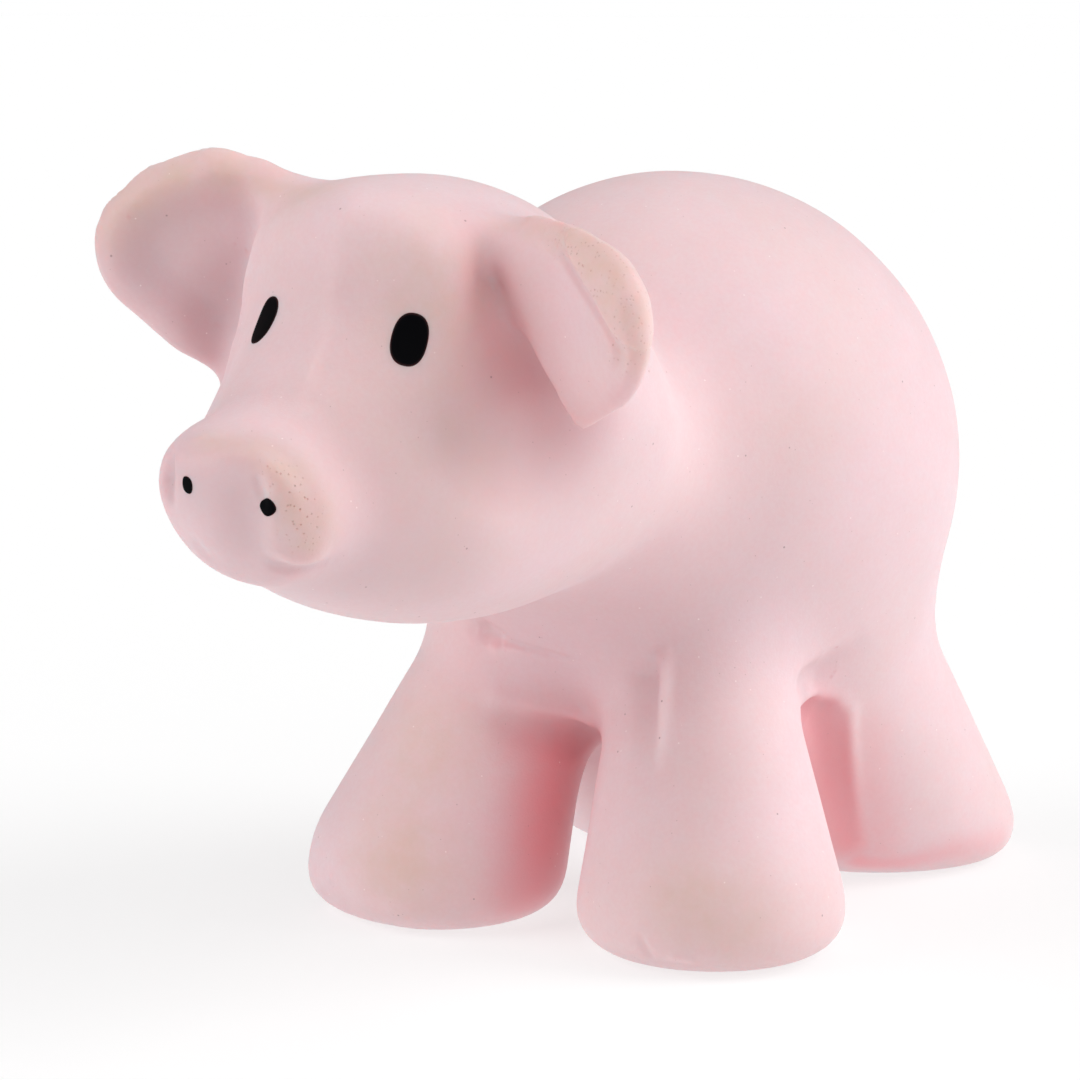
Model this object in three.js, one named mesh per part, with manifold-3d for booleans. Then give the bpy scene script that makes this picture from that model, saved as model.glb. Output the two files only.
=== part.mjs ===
// Pig teething toy: a hollow casting of natural rubber with a painted face, a bung in one sole and a
// loose rattle capsule in the belly. Millimetres, +Z up. The pig looks along -Y, its left side is +X
// and its four soles stand on z = 0.

import * as THREE from 'three';
import { mergeVertices } from 'three/addons/utils/BufferGeometryUtils.js';
import Module from 'manifold-3d';

// Reach of the pig forward and back from the middle of its torso
const snoutReach = 73.6;
const heelReach = 34.4;
const torsoY = (snoutReach - heelReach) / 2;

// Torso: a fat egg, nose down. The rises further down are heights above its middle.
const torsoWidth = 51;
const torsoLength = 58.2;
const torsoDepth = 52.6;
const torsoHeight = 41.3;
const torsoPitch = -19;

// Head, measured before it is cocked to its side
const skullWidth = 35.6;
const skullLength = 50.6;
const skullDepth = 20.4;
const skullBack = 39.1;
const skullRise = 11;
const skullPitch = 55.6;
const jawWidth = 32;
const jawLength = 50.2;
const jawDepth = 24.8;
const jawBack = 42.8;
const jawRise = 3;
const muzzleRootRadius = 14.2;
const muzzleTipRadius = 5.8;
const muzzleRootBack = 43.2;
const muzzleRootRise = 12.4;
const snoutWidth = 16.6;
const snoutDepth = 12.8;
const snoutThickness = 5.9;
const snoutRise = 3.8;
const snoutPitch = 21;
const muzzleSetback = 3.5;
const headTilt = 7.5;
const headPivotBack = 26.4;
const headPivotRise = 11.5;

// Ears: rounded plates with a dished front and a thick rim
const earOutset = 2;
const earOut = skullWidth / 2 + earOutset;
const earBack = 54.7;
const earRise = 21.6;
const earThickness = 4.8;
const earCornerRadius = 7.3;
const earTip = [-0.2, -1.9];
const earHeadCorner = [-4.7, -0.1];
const earLowCorner = [-4, -4.6];
const earSweep = 18.8;
const earLean = 7.2;
const earCupRadius = 89;
const earCupStart = 7;
const earDish = 1.4;
const earRim = 1.8;
const earDishSlope = 4;

// Legs: round cones, spread at the soles. The feet stand out past the torso's sides by their overhangs.
const frontOverhang = 0.7;
const rearOverhang = -1.1;
const frontHip = { out: 8.7, back: -13, height: torsoHeight - 13.5, radius: 6.7 };
const frontFoot = { back: -20.7, height: 3.6, radius: 11.9 };
frontFoot.out = torsoWidth / 2 + frontOverhang - frontFoot.radius;
const rearHip = { out: 5.8, back: 8.5, height: torsoHeight - 20.2, radius: 14.9 };
const rearFoot = { height: 1.5, radius: 11.8 };
rearFoot.out = torsoWidth / 2 + rearOverhang - rearFoot.radius;
rearFoot.back = heelReach - rearFoot.radius;

// How softly neighbouring forms run into each other
const faceBlend = 7;
const snoutBlend = 3.5;
const snoutRimBlend = 3;
const earRimBlend = 3.5;
const legBlend = 6.2;
const soleBlend = 4.4;
const neckBlend = 8.8;

// Tail: one curl of tapering round rubber, pressed against the rump
const tailRise = 5.7;
const tailCurlRadius = 3.4;
const tailRadius = 1.6;
const tailTurns = 1.15;
const tailLift = 2.6;
const tailSink = 1.2;

// Casting wall and the hole through which it was filled
const wall = 2.8;
const pourHoleRadius = 4.3;
const pourHoleOutset = 1;
const pourHoleForward = 4.4;
const pourHoleOut = rearFoot.out + pourHoleOutset;
const pourHoleBack = rearFoot.back - pourHoleForward;

// Bung in the pour hole
const plugClearance = 0.3;
const plugLipRadius = 5.8;
const plugLipThickness = 1.6;

// Painted spots, as films that lie in shallow pockets. A brush put them on, so the pairs don't match.
const filmThickness = 0.5;
const filmClearance = 0.3;
const eyeWidth = 2.6;
const eyeTall = 4.3;
const eyeLean = 8;
const leftEye = { out: 7, rise: 16.7 };
const rightEye = { out: -6, rise: 16 };
const nostrilWidth = 1.5;
const nostrilTall = 1.7;
const leftNostril = { out: 4.6, rise: 4.4 };
const rightNostril = { out: -3, rise: 4.6 };

// Rattle capsule and its beads
const capsuleRadius = 8;
const capsuleLength = 28;
const capsuleWall = 1.2;
const capsuleSeam = 3;
const spigotLength = 3;
const spigotWall = 0.9;
const spigotClearance = 0.3;
const capsuleClearance = 0.5;
const beadRadius = 1.5;
const beadCount = 5;
const beadPitch = 3.4;
const beadClearance = 0.3;

// Mesh fineness
const skinStep = 3.4;
const faceStep = 2.6;
const faceSpan = 22;
const hollowStep = 4.4;
const roundSides = 20;
const tubeSides = 8;
const tailSteps = 22;
const earSides = 28;
const earRings = [0, 0.22, 0.42, 0.6, 0.74, 0.86, 0.95, 0.99];
const spotSides = 16;
const spotRings = 3;
const domeSteps = 4;

const DEG = Math.PI / 180;
const at = (x, y, z) => new THREE.Vector3(x, torsoY + y, z);
const above = (x, y, rise) => at(x, y, torsoHeight + rise);

// Signed distance fields: each takes a point and gives millimetres, negative inside

const joined = (a, b, blend) => {
  const near = Math.max(blend - Math.abs(a - b), 0) / blend;
  return Math.min(a, b) - near * near * blend / 4;
};
const common = (a, b, blend) => -joined(-a, -b, blend);

function ellipsoid(centre, width, length, depth, pitch = 0) {
  const toLocal = new THREE.Matrix4().makeRotationX(pitch * DEG).setPosition(centre).invert();
  const half = new THREE.Vector3(width / 2, length / 2, depth / 2);
  const q = new THREE.Vector3();
  return (point) => {
    q.copy(point).applyMatrix4(toLocal).divide(half);
    const reach = q.length() + 1e-9;
    const steepness = q.divide(half).length() + 1e-9;
    return reach * (reach - 1) / steepness;
  };
}

// Two balls and the cone that wraps them
function roundCone(start, end, startRadius, endRadius) {
  const axis = end.clone().sub(start);
  const length2 = axis.lengthSq();
  const drop = startRadius - endRadius;
  const side2 = length2 - drop * drop;
  const q = new THREE.Vector3();
  const off = new THREE.Vector3();
  return (point) => {
    q.copy(point).sub(start);
    const along = q.dot(axis);
    const past = along - length2;
    const across2 = off.copy(q).multiplyScalar(length2).addScaledVector(axis, -along).lengthSq();
    const slope = Math.sign(drop) * drop * drop * across2;
    if (Math.sign(past) * side2 * past * past * length2 > slope) {
      return Math.sqrt(across2 + past * past * length2) / length2 - endRadius;
    }
    if (Math.sign(along) * side2 * along * along * length2 < slope) {
      return Math.sqrt(across2 + along * along * length2) / length2 - startRadius;
    }
    return (Math.sqrt(across2 * side2 / length2) + along * drop) / length2 - startRadius;
  };
}

// Signed distance to a flat triangle
function triangleDistance(u, v, corners) {
  let nearest = Infinity;
  let inside = Infinity;
  const [a, b, c] = corners;
  const turn = Math.sign((b[0] - a[0]) * (c[1] - a[1]) - (b[1] - a[1]) * (c[0] - a[0]));
  corners.forEach((from, i) => {
    const to = corners[(i + 1) % 3];
    const edge = [to[0] - from[0], to[1] - from[1]];
    const w = [u - from[0], v - from[1]];
    const share = (w[0] * edge[0] + w[1] * edge[1]) / (edge[0] ** 2 + edge[1] ** 2);
    const h = Math.min(Math.max(share, 0), 1);
    nearest = Math.min(nearest, Math.hypot(w[0] - h * edge[0], w[1] - h * edge[1]));
    inside = Math.min(inside, turn * (edge[0] * w[1] - edge[1] * w[0]));
  });
  return inside > 0 ? -nearest : nearest;
}

// An ear in its own frame: X out to the tip, Z up, -Y forward
const earCorners = [earTip, earHeadCorner, earLowCorner];
const cupAt = (x) => Math.max(x - earTip[0] + earCupStart, 0) ** 2 / (2 * earCupRadius);
function earPlate(point) {
  const edge = triangleDistance(point.x, point.z, earCorners) - earCornerRadius;
  const forward = -point.y - cupAt(point.x);
  const dish = earDish * THREE.MathUtils.smoothstep(-edge, earRim, earRim + earDishSlope);
  const slab = Math.max(forward - earThickness / 2 + dish, -forward - earThickness / 2);
  return common(edge, slab, earRimBlend);
}

function snoutDisc(centre) {
  const toLocal = new THREE.Matrix4().makeRotationX(snoutPitch * DEG).setPosition(centre).invert();
  const q = new THREE.Vector3();
  return (point) => {
    q.copy(point).applyMatrix4(toLocal);
    const share = Math.hypot(2 * q.x / snoutWidth, 2 * q.z / snoutDepth);
    const edge = (share - 1) * Math.min(snoutWidth, snoutDepth) / 2;
    return common(edge, Math.abs(q.y) - snoutThickness / 2, snoutRimBlend);
  };
}

function leg(hip, foot, side) {
  const place = (end) => at(side * end.out, end.back, end.height);
  return roundCone(place(hip), place(foot), hip.radius, foot.radius);
}

// The head is modelled upright, then cocked about its pivot
const headPivot = above(0, -headPivotBack, headPivotRise);
const headTurn = new THREE.Matrix4().makeTranslation(headPivot)
  .multiply(new THREE.Matrix4().makeRotationY(headTilt * DEG))
  .multiply(new THREE.Matrix4().makeTranslation(headPivot.clone().negate()));
const headUnturn = headTurn.clone().invert();

const snoutCentre = above(0, -snoutReach + snoutThickness / 2, snoutRise);
const torso = ellipsoid(above(0, 0, 0), torsoWidth, torsoLength, torsoDepth, torsoPitch);
const skull = ellipsoid(above(0, -skullBack, skullRise), skullWidth, skullDepth, skullLength, skullPitch);
const jaw = ellipsoid(above(0, -jawBack, jawRise), jawWidth, jawLength, jawDepth);
const muzzleTip = snoutCentre.clone().add(new THREE.Vector3(0, muzzleSetback, 0));
const muzzle = roundCone(above(0, -muzzleRootBack, muzzleRootRise), muzzleTip,
  muzzleRootRadius, muzzleTipRadius);
const snout = snoutDisc(snoutCentre);
const legs = [1, -1].flatMap((side) => [leg(frontHip, frontFoot, side), leg(rearHip, rearFoot, side)]);

const upright = new THREE.Vector3();
function face(point) {
  upright.copy(point).applyMatrix4(headUnturn);
  return joined(joined(skull(upright), jaw(upright), faceBlend), muzzle(upright), faceBlend);
}
const head = (point) => joined(face(point), snout(upright), snoutBlend);
const trunk = (point) => legs.reduce((sum, one) => joined(sum, one(point), legBlend), torso(point));
const standing = (distance, point) => common(distance, -point.z, soleBlend);
const outside = (point) => standing(joined(trunk(point), head(point), neckBlend), point);
const hollow = (point) => standing(joined(trunk(point), face(point), neckBlend), point) + wall;

const normalOf = (field, point, step = 0.05) => {
  const slope = (x, y, z) => field(point.clone().add(new THREE.Vector3(x, y, z)))
    - field(point.clone().sub(new THREE.Vector3(x, y, z)));
  return new THREE.Vector3(slope(step, 0, 0), slope(0, step, 0), slope(0, 0, step)).divideScalar(2 * step);
};

// Even grid planes from low to high, with the finer step below the split
function planes(low, high, step, fineStep = step, split = low) {
  const list = [low];
  while (list.at(-1) < high) {
    list.push(list.at(-1) + (list.at(-1) < split ? fineStep : step));
  }
  return list;
}

// Skin of a field: one vertex in every grid cell that the surface crosses, pulled onto the surface
function skinOf(field, xs, ys, zs) {
  const node = (i, j, k) => (i * ys.length + j) * zs.length + k;
  const values = new Float64Array(xs.length * ys.length * zs.length);
  const point = new THREE.Vector3();
  xs.forEach((x, i) => ys.forEach((y, j) => zs.forEach((z, k) => {
    values[node(i, j, k)] = field(point.set(x, y, z));
  })));

  const corners = [0, 1, 2, 3, 4, 5, 6, 7].map((n) => [n & 1, (n >> 1) & 1, n >> 2]);
  const edges = corners.flatMap((a, i) => corners.slice(i + 1)
    .filter((b) => Math.abs(a[0] - b[0]) + Math.abs(a[1] - b[1]) + Math.abs(a[2] - b[2]) === 1)
    .map((b) => [a, b]));
  const positions = [];
  const vertexOf = new Map();
  const within = (list, n, share) => list[n] + share * (list[n + 1] - list[n]);
  const place = ([di, dj, dk], i, j, k) => new THREE.Vector3(within(xs, i, di), within(ys, j, dj),
    within(zs, k, dk));
  for (let i = 0; i < xs.length - 1; i += 1) {
    for (let j = 0; j < ys.length - 1; j += 1) {
      for (let k = 0; k < zs.length - 1; k += 1) {
        const sum = new THREE.Vector3();
        let count = 0;
        edges.forEach(([a, b]) => {
          const va = values[node(i + a[0], j + a[1], k + a[2])];
          const vb = values[node(i + b[0], j + b[1], k + b[2])];
          if (va < 0 !== vb < 0) {
            sum.add(place(a, i, j, k).lerp(place(b, i, j, k), va / (va - vb)));
            count += 1;
          }
        });
        if (count > 0) {
          const vertex = sum.divideScalar(count);
          const low = place([0.05, 0.05, 0.05], i, j, k);
          const high = place([0.95, 0.95, 0.95], i, j, k);
          for (let pull = 0; pull < 3; pull += 1) {
            const slope = normalOf(field, vertex);
            vertex.addScaledVector(slope, -field(vertex) / slope.lengthSq()).clamp(low, high);
          }
          vertexOf.set(node(i, j, k), positions.length / 3);
          positions.push(vertex.x, vertex.y, vertex.z);
        }
      }
    }
  }

  const spot = (n) => new THREE.Vector3().fromArray(positions, 3 * n);
  const index = [];
  const addQuad = (a, b, c, d, outward) => {
    const ring = outward ? [a, b, c, d] : [d, c, b, a];
    if (spot(ring[0]).distanceTo(spot(ring[2])) > spot(ring[1]).distanceTo(spot(ring[3]))) {
      ring.push(ring.shift());
    }
    index.push(ring[0], ring[1], ring[2], ring[0], ring[2], ring[3]);
  };
  const cell = (i, j, k) => vertexOf.get(node(i, j, k));
  for (let i = 1; i < xs.length - 1; i += 1) {
    for (let j = 1; j < ys.length - 1; j += 1) {
      for (let k = 1; k < zs.length - 1; k += 1) {
        const here = values[node(i, j, k)] < 0;
        if (here !== values[node(i + 1, j, k)] < 0) {
          addQuad(cell(i, j - 1, k - 1), cell(i, j, k - 1), cell(i, j, k), cell(i, j - 1, k), here);
        }
        if (here !== values[node(i, j + 1, k)] < 0) {
          addQuad(cell(i - 1, j, k - 1), cell(i - 1, j, k), cell(i, j, k), cell(i, j, k - 1), here);
        }
        if (here !== values[node(i, j, k + 1)] < 0) {
          addQuad(cell(i - 1, j - 1, k), cell(i, j - 1, k), cell(i, j, k), cell(i - 1, j, k), here);
        }
      }
    }
  }
  const geometry = new THREE.BufferGeometry();
  geometry.setAttribute('position', new THREE.Float32BufferAttribute(positions, 3));
  geometry.setIndex(index);
  return geometry;
}

// Solids for cutting and joining

const wasm = await Module();
wasm.setup();

function solidOf(geometry) {
  const bare = geometry.clone();
  bare.deleteAttribute('normal');
  bare.deleteAttribute('uv');
  const merged = mergeVertices(bare);
  return new wasm.Manifold(new wasm.Mesh({
    numProp: 3,
    vertProperties: merged.attributes.position.array,
    triVerts: new Uint32Array(merged.index.array),
  }));
}

// Mesh of a solid with its vertices rounded to a micron. The slivers that cuts leave collapse, and two
// faces that fold onto each other cancel.
function geometryOf(solid) {
  const mesh = solid.getMesh();
  const places = new Map();
  const positions = [];
  const rounded = [];
  for (let n = 0; n < mesh.vertProperties.length; n += 3) {
    const spot = Array.from(mesh.vertProperties.slice(n, n + 3), (v) => Math.round(v * 1000) / 1000);
    const key = spot.join();
    if (!places.has(key)) {
      places.set(key, places.size);
      positions.push(...spot);
    }
    rounded.push(places.get(key));
  }
  const faces = new Map();
  for (let n = 0; n < mesh.triVerts.length; n += 3) {
    const face = Array.from(mesh.triVerts.slice(n, n + 3), (v) => rounded[v]);
    const key = [...face].sort((a, b) => a - b).join();
    if (faces.has(key)) {
      faces.delete(key);
    } else if (new Set(face).size === 3) {
      faces.set(key, face);
    }
  }
  const geometry = new THREE.BufferGeometry();
  geometry.setAttribute('position', new THREE.Float32BufferAttribute(positions, 3));
  geometry.setIndex([...faces.values()].flat());
  return geometry;
}

// A closed body of two sheets of rings, front(ring, angle) and back(ring, angle), and the strip that joins
// their rims; ring 0 is the middle point
function sheetPair(rings, sides, front, back) {
  const positions = [];
  [front, back].forEach((sheet) => {
    positions.push(...sheet(0, 0).toArray());
    for (let ring = 1; ring <= rings; ring += 1) {
      for (let side = 0; side < sides; side += 1) {
        positions.push(...sheet(ring, 2 * Math.PI * side / sides).toArray());
      }
    }
  });
  const backStart = 1 + rings * sides;
  const vertex = (ring, side) => 1 + (ring - 1) * sides + side % sides;
  const index = [];
  const addFacing = (a, b, c) => {
    index.push(a, b, c, backStart + a, backStart + c, backStart + b);
  };
  for (let side = 0; side < sides; side += 1) {
    addFacing(0, vertex(1, side), vertex(1, side + 1));
    for (let ring = 1; ring < rings; ring += 1) {
      addFacing(vertex(ring, side), vertex(ring + 1, side), vertex(ring + 1, side + 1));
      addFacing(vertex(ring, side), vertex(ring + 1, side + 1), vertex(ring, side + 1));
    }
    const a = vertex(rings, side);
    const b = vertex(rings, side + 1);
    index.push(a, backStart + a, backStart + b, a, backStart + b, b);
  }
  const geometry = new THREE.BufferGeometry();
  geometry.setAttribute('position', new THREE.Float32BufferAttribute(positions, 3));
  geometry.setIndex(index);
  return geometry;
}

// A painted spot: the film, and the pocket that takes it, both following the skin
function spotBlock(spot, topLevel, bottomLevel, grow) {
  const sheet = (wanted) => (ring, angle) => {
    const across = (spot.width / 2 + grow) * Math.cos(angle) * ring / spotRings;
    const up = (spot.tall / 2 + grow) * Math.sin(angle) * ring / spotRings;
    const offset = spot.right.clone().multiplyScalar(across).addScaledVector(spot.up, up)
      .applyAxisAngle(spot.normal, spot.lean * DEG);
    const point = spot.middle.clone().add(offset);
    for (let pull = 0; pull < 12; pull += 1) {
      point.addScaledVector(spot.normal, wanted - outside(point));
    }
    return point;
  };
  return sheetPair(spotRings, spotSides, sheet(topLevel), sheet(bottomLevel));
}

function paintedSpot(place, width, tall, lean) {
  const point = above(place.out, -snoutReach - wall, place.rise).applyMatrix4(headTurn);
  const inward = new THREE.Vector3(0, 1, 0).transformDirection(headTurn);
  for (let step = 0; step < 60; step += 1) {
    point.addScaledVector(inward, outside(point));
  }
  const normal = normalOf(outside, point).normalize();
  const headUp = new THREE.Vector3(0, 0, 1).transformDirection(headTurn);
  const right = new THREE.Vector3().crossVectors(headUp, normal).normalize();
  const up = new THREE.Vector3().crossVectors(normal, right);
  const spot = { middle: point, normal, right, up, width, tall, lean };
  return {
    film: spotBlock(spot, 0, -filmThickness, 0),
    pocket: spotBlock(spot, 1, -filmThickness - filmClearance, filmClearance),
  };
}

const spots = {
  eye_left: paintedSpot(leftEye, eyeWidth, eyeTall, eyeLean),
  eye_right: paintedSpot(rightEye, eyeWidth, eyeTall, -eyeLean),
  nostril_left: paintedSpot(leftNostril, nostrilWidth, nostrilTall, 0),
  nostril_right: paintedSpot(rightNostril, nostrilWidth, nostrilTall, 0),
};

// The tail starts inside the wall and winds out of the rump
class TailCurve extends THREE.Curve {
  getPoint(share, target = new THREE.Vector3()) {
    const angle = 2 * Math.PI * tailTurns * share;
    const radius = tailCurlRadius * Math.min(1, 2 * share);
    target.set(radius * Math.sin(angle), 0, torsoHeight + tailRise - radius * Math.cos(angle));
    target.y = torsoY + torsoLength;
    for (let step = 0; step < 40; step += 1) {
      target.y -= torso(target) * 0.8;
    }
    target.y += tailLift * share - tailSink * (1 - share);
    return target;
  }
}

function circleShape(radius, sides) {
  const shape = new THREE.Shape();
  for (let side = 0; side < sides; side += 1) {
    const angle = 2 * Math.PI * side / sides;
    const move = side === 0 ? 'moveTo' : 'lineTo';
    shape[move](radius * Math.cos(angle), radius * Math.sin(angle));
  }
  shape.closePath();
  return shape;
}

function tailGeometry() {
  const section = circleShape(tailRadius, tubeSides);
  return new THREE.ExtrudeGeometry(section, { steps: tailSteps, extrudePath: new TailCurve() });
}

// Turned blocks for cutting, standing on a given height
function post(radius, bottom, top) {
  const geometry = new THREE.CylinderGeometry(radius, radius, top - bottom, roundSides);
  geometry.rotateX(Math.PI / 2);
  geometry.translate(pourHoleOut, torsoY + pourHoleBack, (top + bottom) / 2);
  return geometry;
}

// Farthest point from a start inside a field, along a direction, that is still inside
function edgeOf(field, start, direction, farthest) {
  let inside = 0;
  let outer = farthest;
  while (outer - inside > 0.001) {
    const half = (inside + outer) / 2;
    if (field(start.clone().addScaledVector(direction, half)) < 0) {
      inside = half;
    } else {
      outer = half;
    }
  }
  return inside;
}

// Ear solid for one side, turned with the head
function earSolid(side) {
  const middle = new THREE.Vector3(
    (earTip[0] + earHeadCorner[0] + earLowCorner[0]) / 3,
    0,
    (earTip[1] + earHeadCorner[1] + earLowCorner[1]) / 3,
  );
  const sheet = (facing) => (ring, angle) => {
    const out = new THREE.Vector3(Math.cos(angle), 0, Math.sin(angle));
    const rim = edgeOf((point) => triangleDistance(point.x, point.z, earCorners) - earCornerRadius,
      middle, out, 4 * earCornerRadius);
    const point = middle.clone().addScaledVector(out, earRings[ring] * rim);
    point.y = -cupAt(point.x);
    const through = new THREE.Vector3(0, facing, 0);
    return point.addScaledVector(through, edgeOf(earPlate, point, through, earThickness));
  };
  const skin = sheetPair(earRings.length - 1, earSides, sheet(-1), sheet(1));
  const frame = headTurn.clone()
    .multiply(new THREE.Matrix4().makeScale(side, 1, 1))
    .multiply(new THREE.Matrix4().makeTranslation(above(earOut, -earBack, earRise)))
    .multiply(new THREE.Matrix4().makeRotationZ(-earSweep * DEG))
    .multiply(new THREE.Matrix4().makeRotationX(earLean * DEG));
  skin.applyMatrix4(frame);
  if (side < 0) {
    skin.setIndex(Array.from(skin.index.array).reverse());
  }
  return solidOf(skin);
}

function rubberBody() {
  const reach = Math.max(torsoWidth / 2, frontFoot.out + frontFoot.radius, rearFoot.out + rearFoot.radius);
  const widthPlanes = (step) => {
    const count = Math.ceil(reach / step) + 1;
    return Array.from({ length: 2 * count + 1 }, (_, i) => (i - count) * step);
  };
  const front = torsoY - snoutReach - 2 * faceStep;
  const back = torsoY + heelReach + skinStep;
  const top = torsoHeight + Math.max(torsoDepth / 2, earRise + earCornerRadius) + skinStep;
  const skin = skinOf(outside, widthPlanes(skinStep),
    planes(front, back, skinStep, faceStep, front + faceSpan), planes(-1.5 * skinStep, top, skinStep));
  const core = skinOf(hollow, widthPlanes(hollowStep), planes(front, back, hollowStep),
    planes(wall - 1.5 * hollowStep, top, hollowStep));
  let casting = solidOf(skin).add(earSolid(1)).add(earSolid(-1)).add(solidOf(tailGeometry()));
  casting = casting.subtract(solidOf(core));
  const lipTop = wall + plugClearance + plugLipThickness + plugClearance;
  casting = casting.subtract(solidOf(post(pourHoleRadius, -1, wall + 1)));
  casting = casting.subtract(solidOf(post(plugLipRadius + plugClearance, wall, lipTop)));
  Object.values(spots).forEach((spot) => {
    casting = casting.subtract(solidOf(spot.pocket));
  });
  return geometryOf(casting);
}

// Bung: a shank through the sole and a lip that grips its inside
function plugGeometry() {
  const shankRadius = pourHoleRadius - plugClearance;
  const lipBottom = wall + plugClearance;
  const profile = [[0, 0], [shankRadius, 0], [shankRadius, lipBottom], [plugLipRadius, lipBottom],
    [shankRadius, lipBottom + plugLipThickness], [0, lipBottom + plugLipThickness]];
  const geometry = new THREE.LatheGeometry(profile.map(([r, z]) => new THREE.Vector2(r, z)), roundSides);
  geometry.rotateX(Math.PI / 2);
  geometry.translate(pourHoleOut, torsoY + pourHoleBack, 0);
  return geometry;
}

// Lowest or highest resting place of the capsule in the hollow, searched along Z
function capsuleStop(direction) {
  const straight = capsuleLength / 2 - capsuleRadius;
  const fits = (z) => [-1, -0.5, 0, 0.5, 1].every((share) => {
    const clear = -hollow(new THREE.Vector3(0, torsoY + share * straight, z));
    return clear > capsuleRadius + capsuleClearance;
  });
  let z = torsoHeight;
  while (fits(z + direction * 0.05)) {
    z += direction * 0.05;
  }
  return z;
}
const capsuleLow = capsuleStop(-1);

function turnedAlongY(profile) {
  const geometry = new THREE.LatheGeometry(profile.map(([r, y]) => new THREE.Vector2(r, y)), roundSides);
  geometry.translate(0, torsoY, capsuleLow);
  return geometry;
}

// Quarter circle of a capsule end, from the wall to the axis or back
function domeProfile(radius, centre, direction) {
  return Array.from({ length: domeSteps + 1 }, (_, i) => {
    const angle = Math.PI / 2 * i / domeSteps;
    return [i === domeSteps ? 0 : radius * Math.cos(angle), centre + direction * radius * Math.sin(angle)];
  });
}

const domeCentre = capsuleLength / 2 - capsuleRadius;
const innerRadius = capsuleRadius - capsuleWall;
const spigotRadius = innerRadius - spigotClearance;

function cupGeometry() {
  const outer = domeProfile(capsuleRadius, -domeCentre, -1);
  const inner = domeProfile(innerRadius, -domeCentre, -1);
  const profile = [...inner.reverse(), [innerRadius, capsuleSeam], [capsuleRadius, capsuleSeam], ...outer];
  return turnedAlongY(profile.reverse());
}

function capGeometry() {
  const outer = domeProfile(capsuleRadius, domeCentre, 1);
  const inner = domeProfile(spigotRadius - spigotWall, domeCentre, 1);
  const seam = capsuleSeam + spigotClearance;
  const spigotEnd = capsuleSeam - spigotLength;
  const profile = [...outer.reverse(), [capsuleRadius, seam], [spigotRadius, seam], [spigotRadius, spigotEnd],
    [spigotRadius - spigotWall, spigotEnd], ...inner];
  return turnedAlongY(profile.reverse());
}

// How far a bead's centre can leave the capsule's middle line, at a distance along it
function beadTravel(along) {
  const room = spigotRadius - spigotWall - beadRadius - beadClearance;
  const intoDome = Math.max(Math.abs(along) - domeCentre, 0);
  return Math.sqrt(room * room - intoDome * intoDome);
}

const rubber = new THREE.MeshStandardMaterial({ color: '#ecced1', roughness: 0.75, metalness: 0 });
const plugRubber = new THREE.MeshStandardMaterial({ color: '#e6b9bd', roughness: 0.8, metalness: 0 });
const paint = new THREE.MeshStandardMaterial({ color: '#0e0d11', roughness: 0.25, metalness: 0 });
const plastic = new THREE.MeshStandardMaterial({ color: '#e9e7e0', roughness: 0.4, metalness: 0 });
const beadPlastic = new THREE.MeshStandardMaterial({ color: '#c9c6bd', roughness: 0.35, metalness: 0 });

const pig = new THREE.Group();
function addPiece(name, geometry, material, position = new THREE.Vector3()) {
  const mesh = new THREE.Mesh(geometry, material.clone());
  mesh.name = name;
  mesh.position.copy(position);
  pig.add(mesh);
}

addPiece('rubber_body', rubberBody(), rubber);
addPiece('pour_plug', plugGeometry(), plugRubber);
Object.entries(spots).forEach(([name, spot]) => addPiece(name, spot.film, paint));
addPiece('rattle_cup', cupGeometry(), plastic);
addPiece('rattle_cap', capGeometry(), plastic);
for (let bead = 0; bead < beadCount; bead += 1) {
  const along = (bead - (beadCount - 1) / 2) * beadPitch;
  const rest = new THREE.Vector3(0, torsoY + along, capsuleLow - beadTravel(along));
  addPiece(`bead_${bead + 1}`, new THREE.SphereGeometry(beadRadius, 10, 6), beadPlastic, rest);
}

// The origin lies under the middle of the whole toy
const middle = new THREE.Box3().setFromObject(pig).getCenter(new THREE.Vector3());
pig.position.set(-Math.round(middle.x * 100) / 100, -Math.round(middle.y * 100) / 100, 0);

export default pig;
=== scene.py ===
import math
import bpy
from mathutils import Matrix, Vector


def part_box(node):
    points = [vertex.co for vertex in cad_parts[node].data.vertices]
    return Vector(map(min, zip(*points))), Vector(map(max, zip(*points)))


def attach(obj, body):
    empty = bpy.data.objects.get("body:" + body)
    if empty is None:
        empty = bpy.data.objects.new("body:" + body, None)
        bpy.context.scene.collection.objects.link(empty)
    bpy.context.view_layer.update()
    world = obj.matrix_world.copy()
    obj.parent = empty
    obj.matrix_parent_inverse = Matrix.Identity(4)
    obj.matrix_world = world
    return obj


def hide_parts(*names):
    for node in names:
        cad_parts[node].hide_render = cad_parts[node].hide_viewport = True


bl_info = {
    "name": "Pig teething toy",
    "version": (1, 0, 0),
    "blender": (4, 5, 0),
    "location": "View3D > Sidebar > Teether",
    "description": "Dresses a rubber pig: cast skin, painted face, bung, rattle and stage",
    "category": "Object",
}

import bmesh
import bpy
import numpy as np
from mathutils import Matrix, Vector

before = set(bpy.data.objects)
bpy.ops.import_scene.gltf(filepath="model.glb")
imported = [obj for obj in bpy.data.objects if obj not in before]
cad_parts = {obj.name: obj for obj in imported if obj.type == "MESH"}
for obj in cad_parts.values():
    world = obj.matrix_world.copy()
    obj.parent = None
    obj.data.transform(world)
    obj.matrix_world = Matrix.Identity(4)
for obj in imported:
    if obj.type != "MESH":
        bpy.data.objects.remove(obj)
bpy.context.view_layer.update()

MM = 0.001

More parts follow.
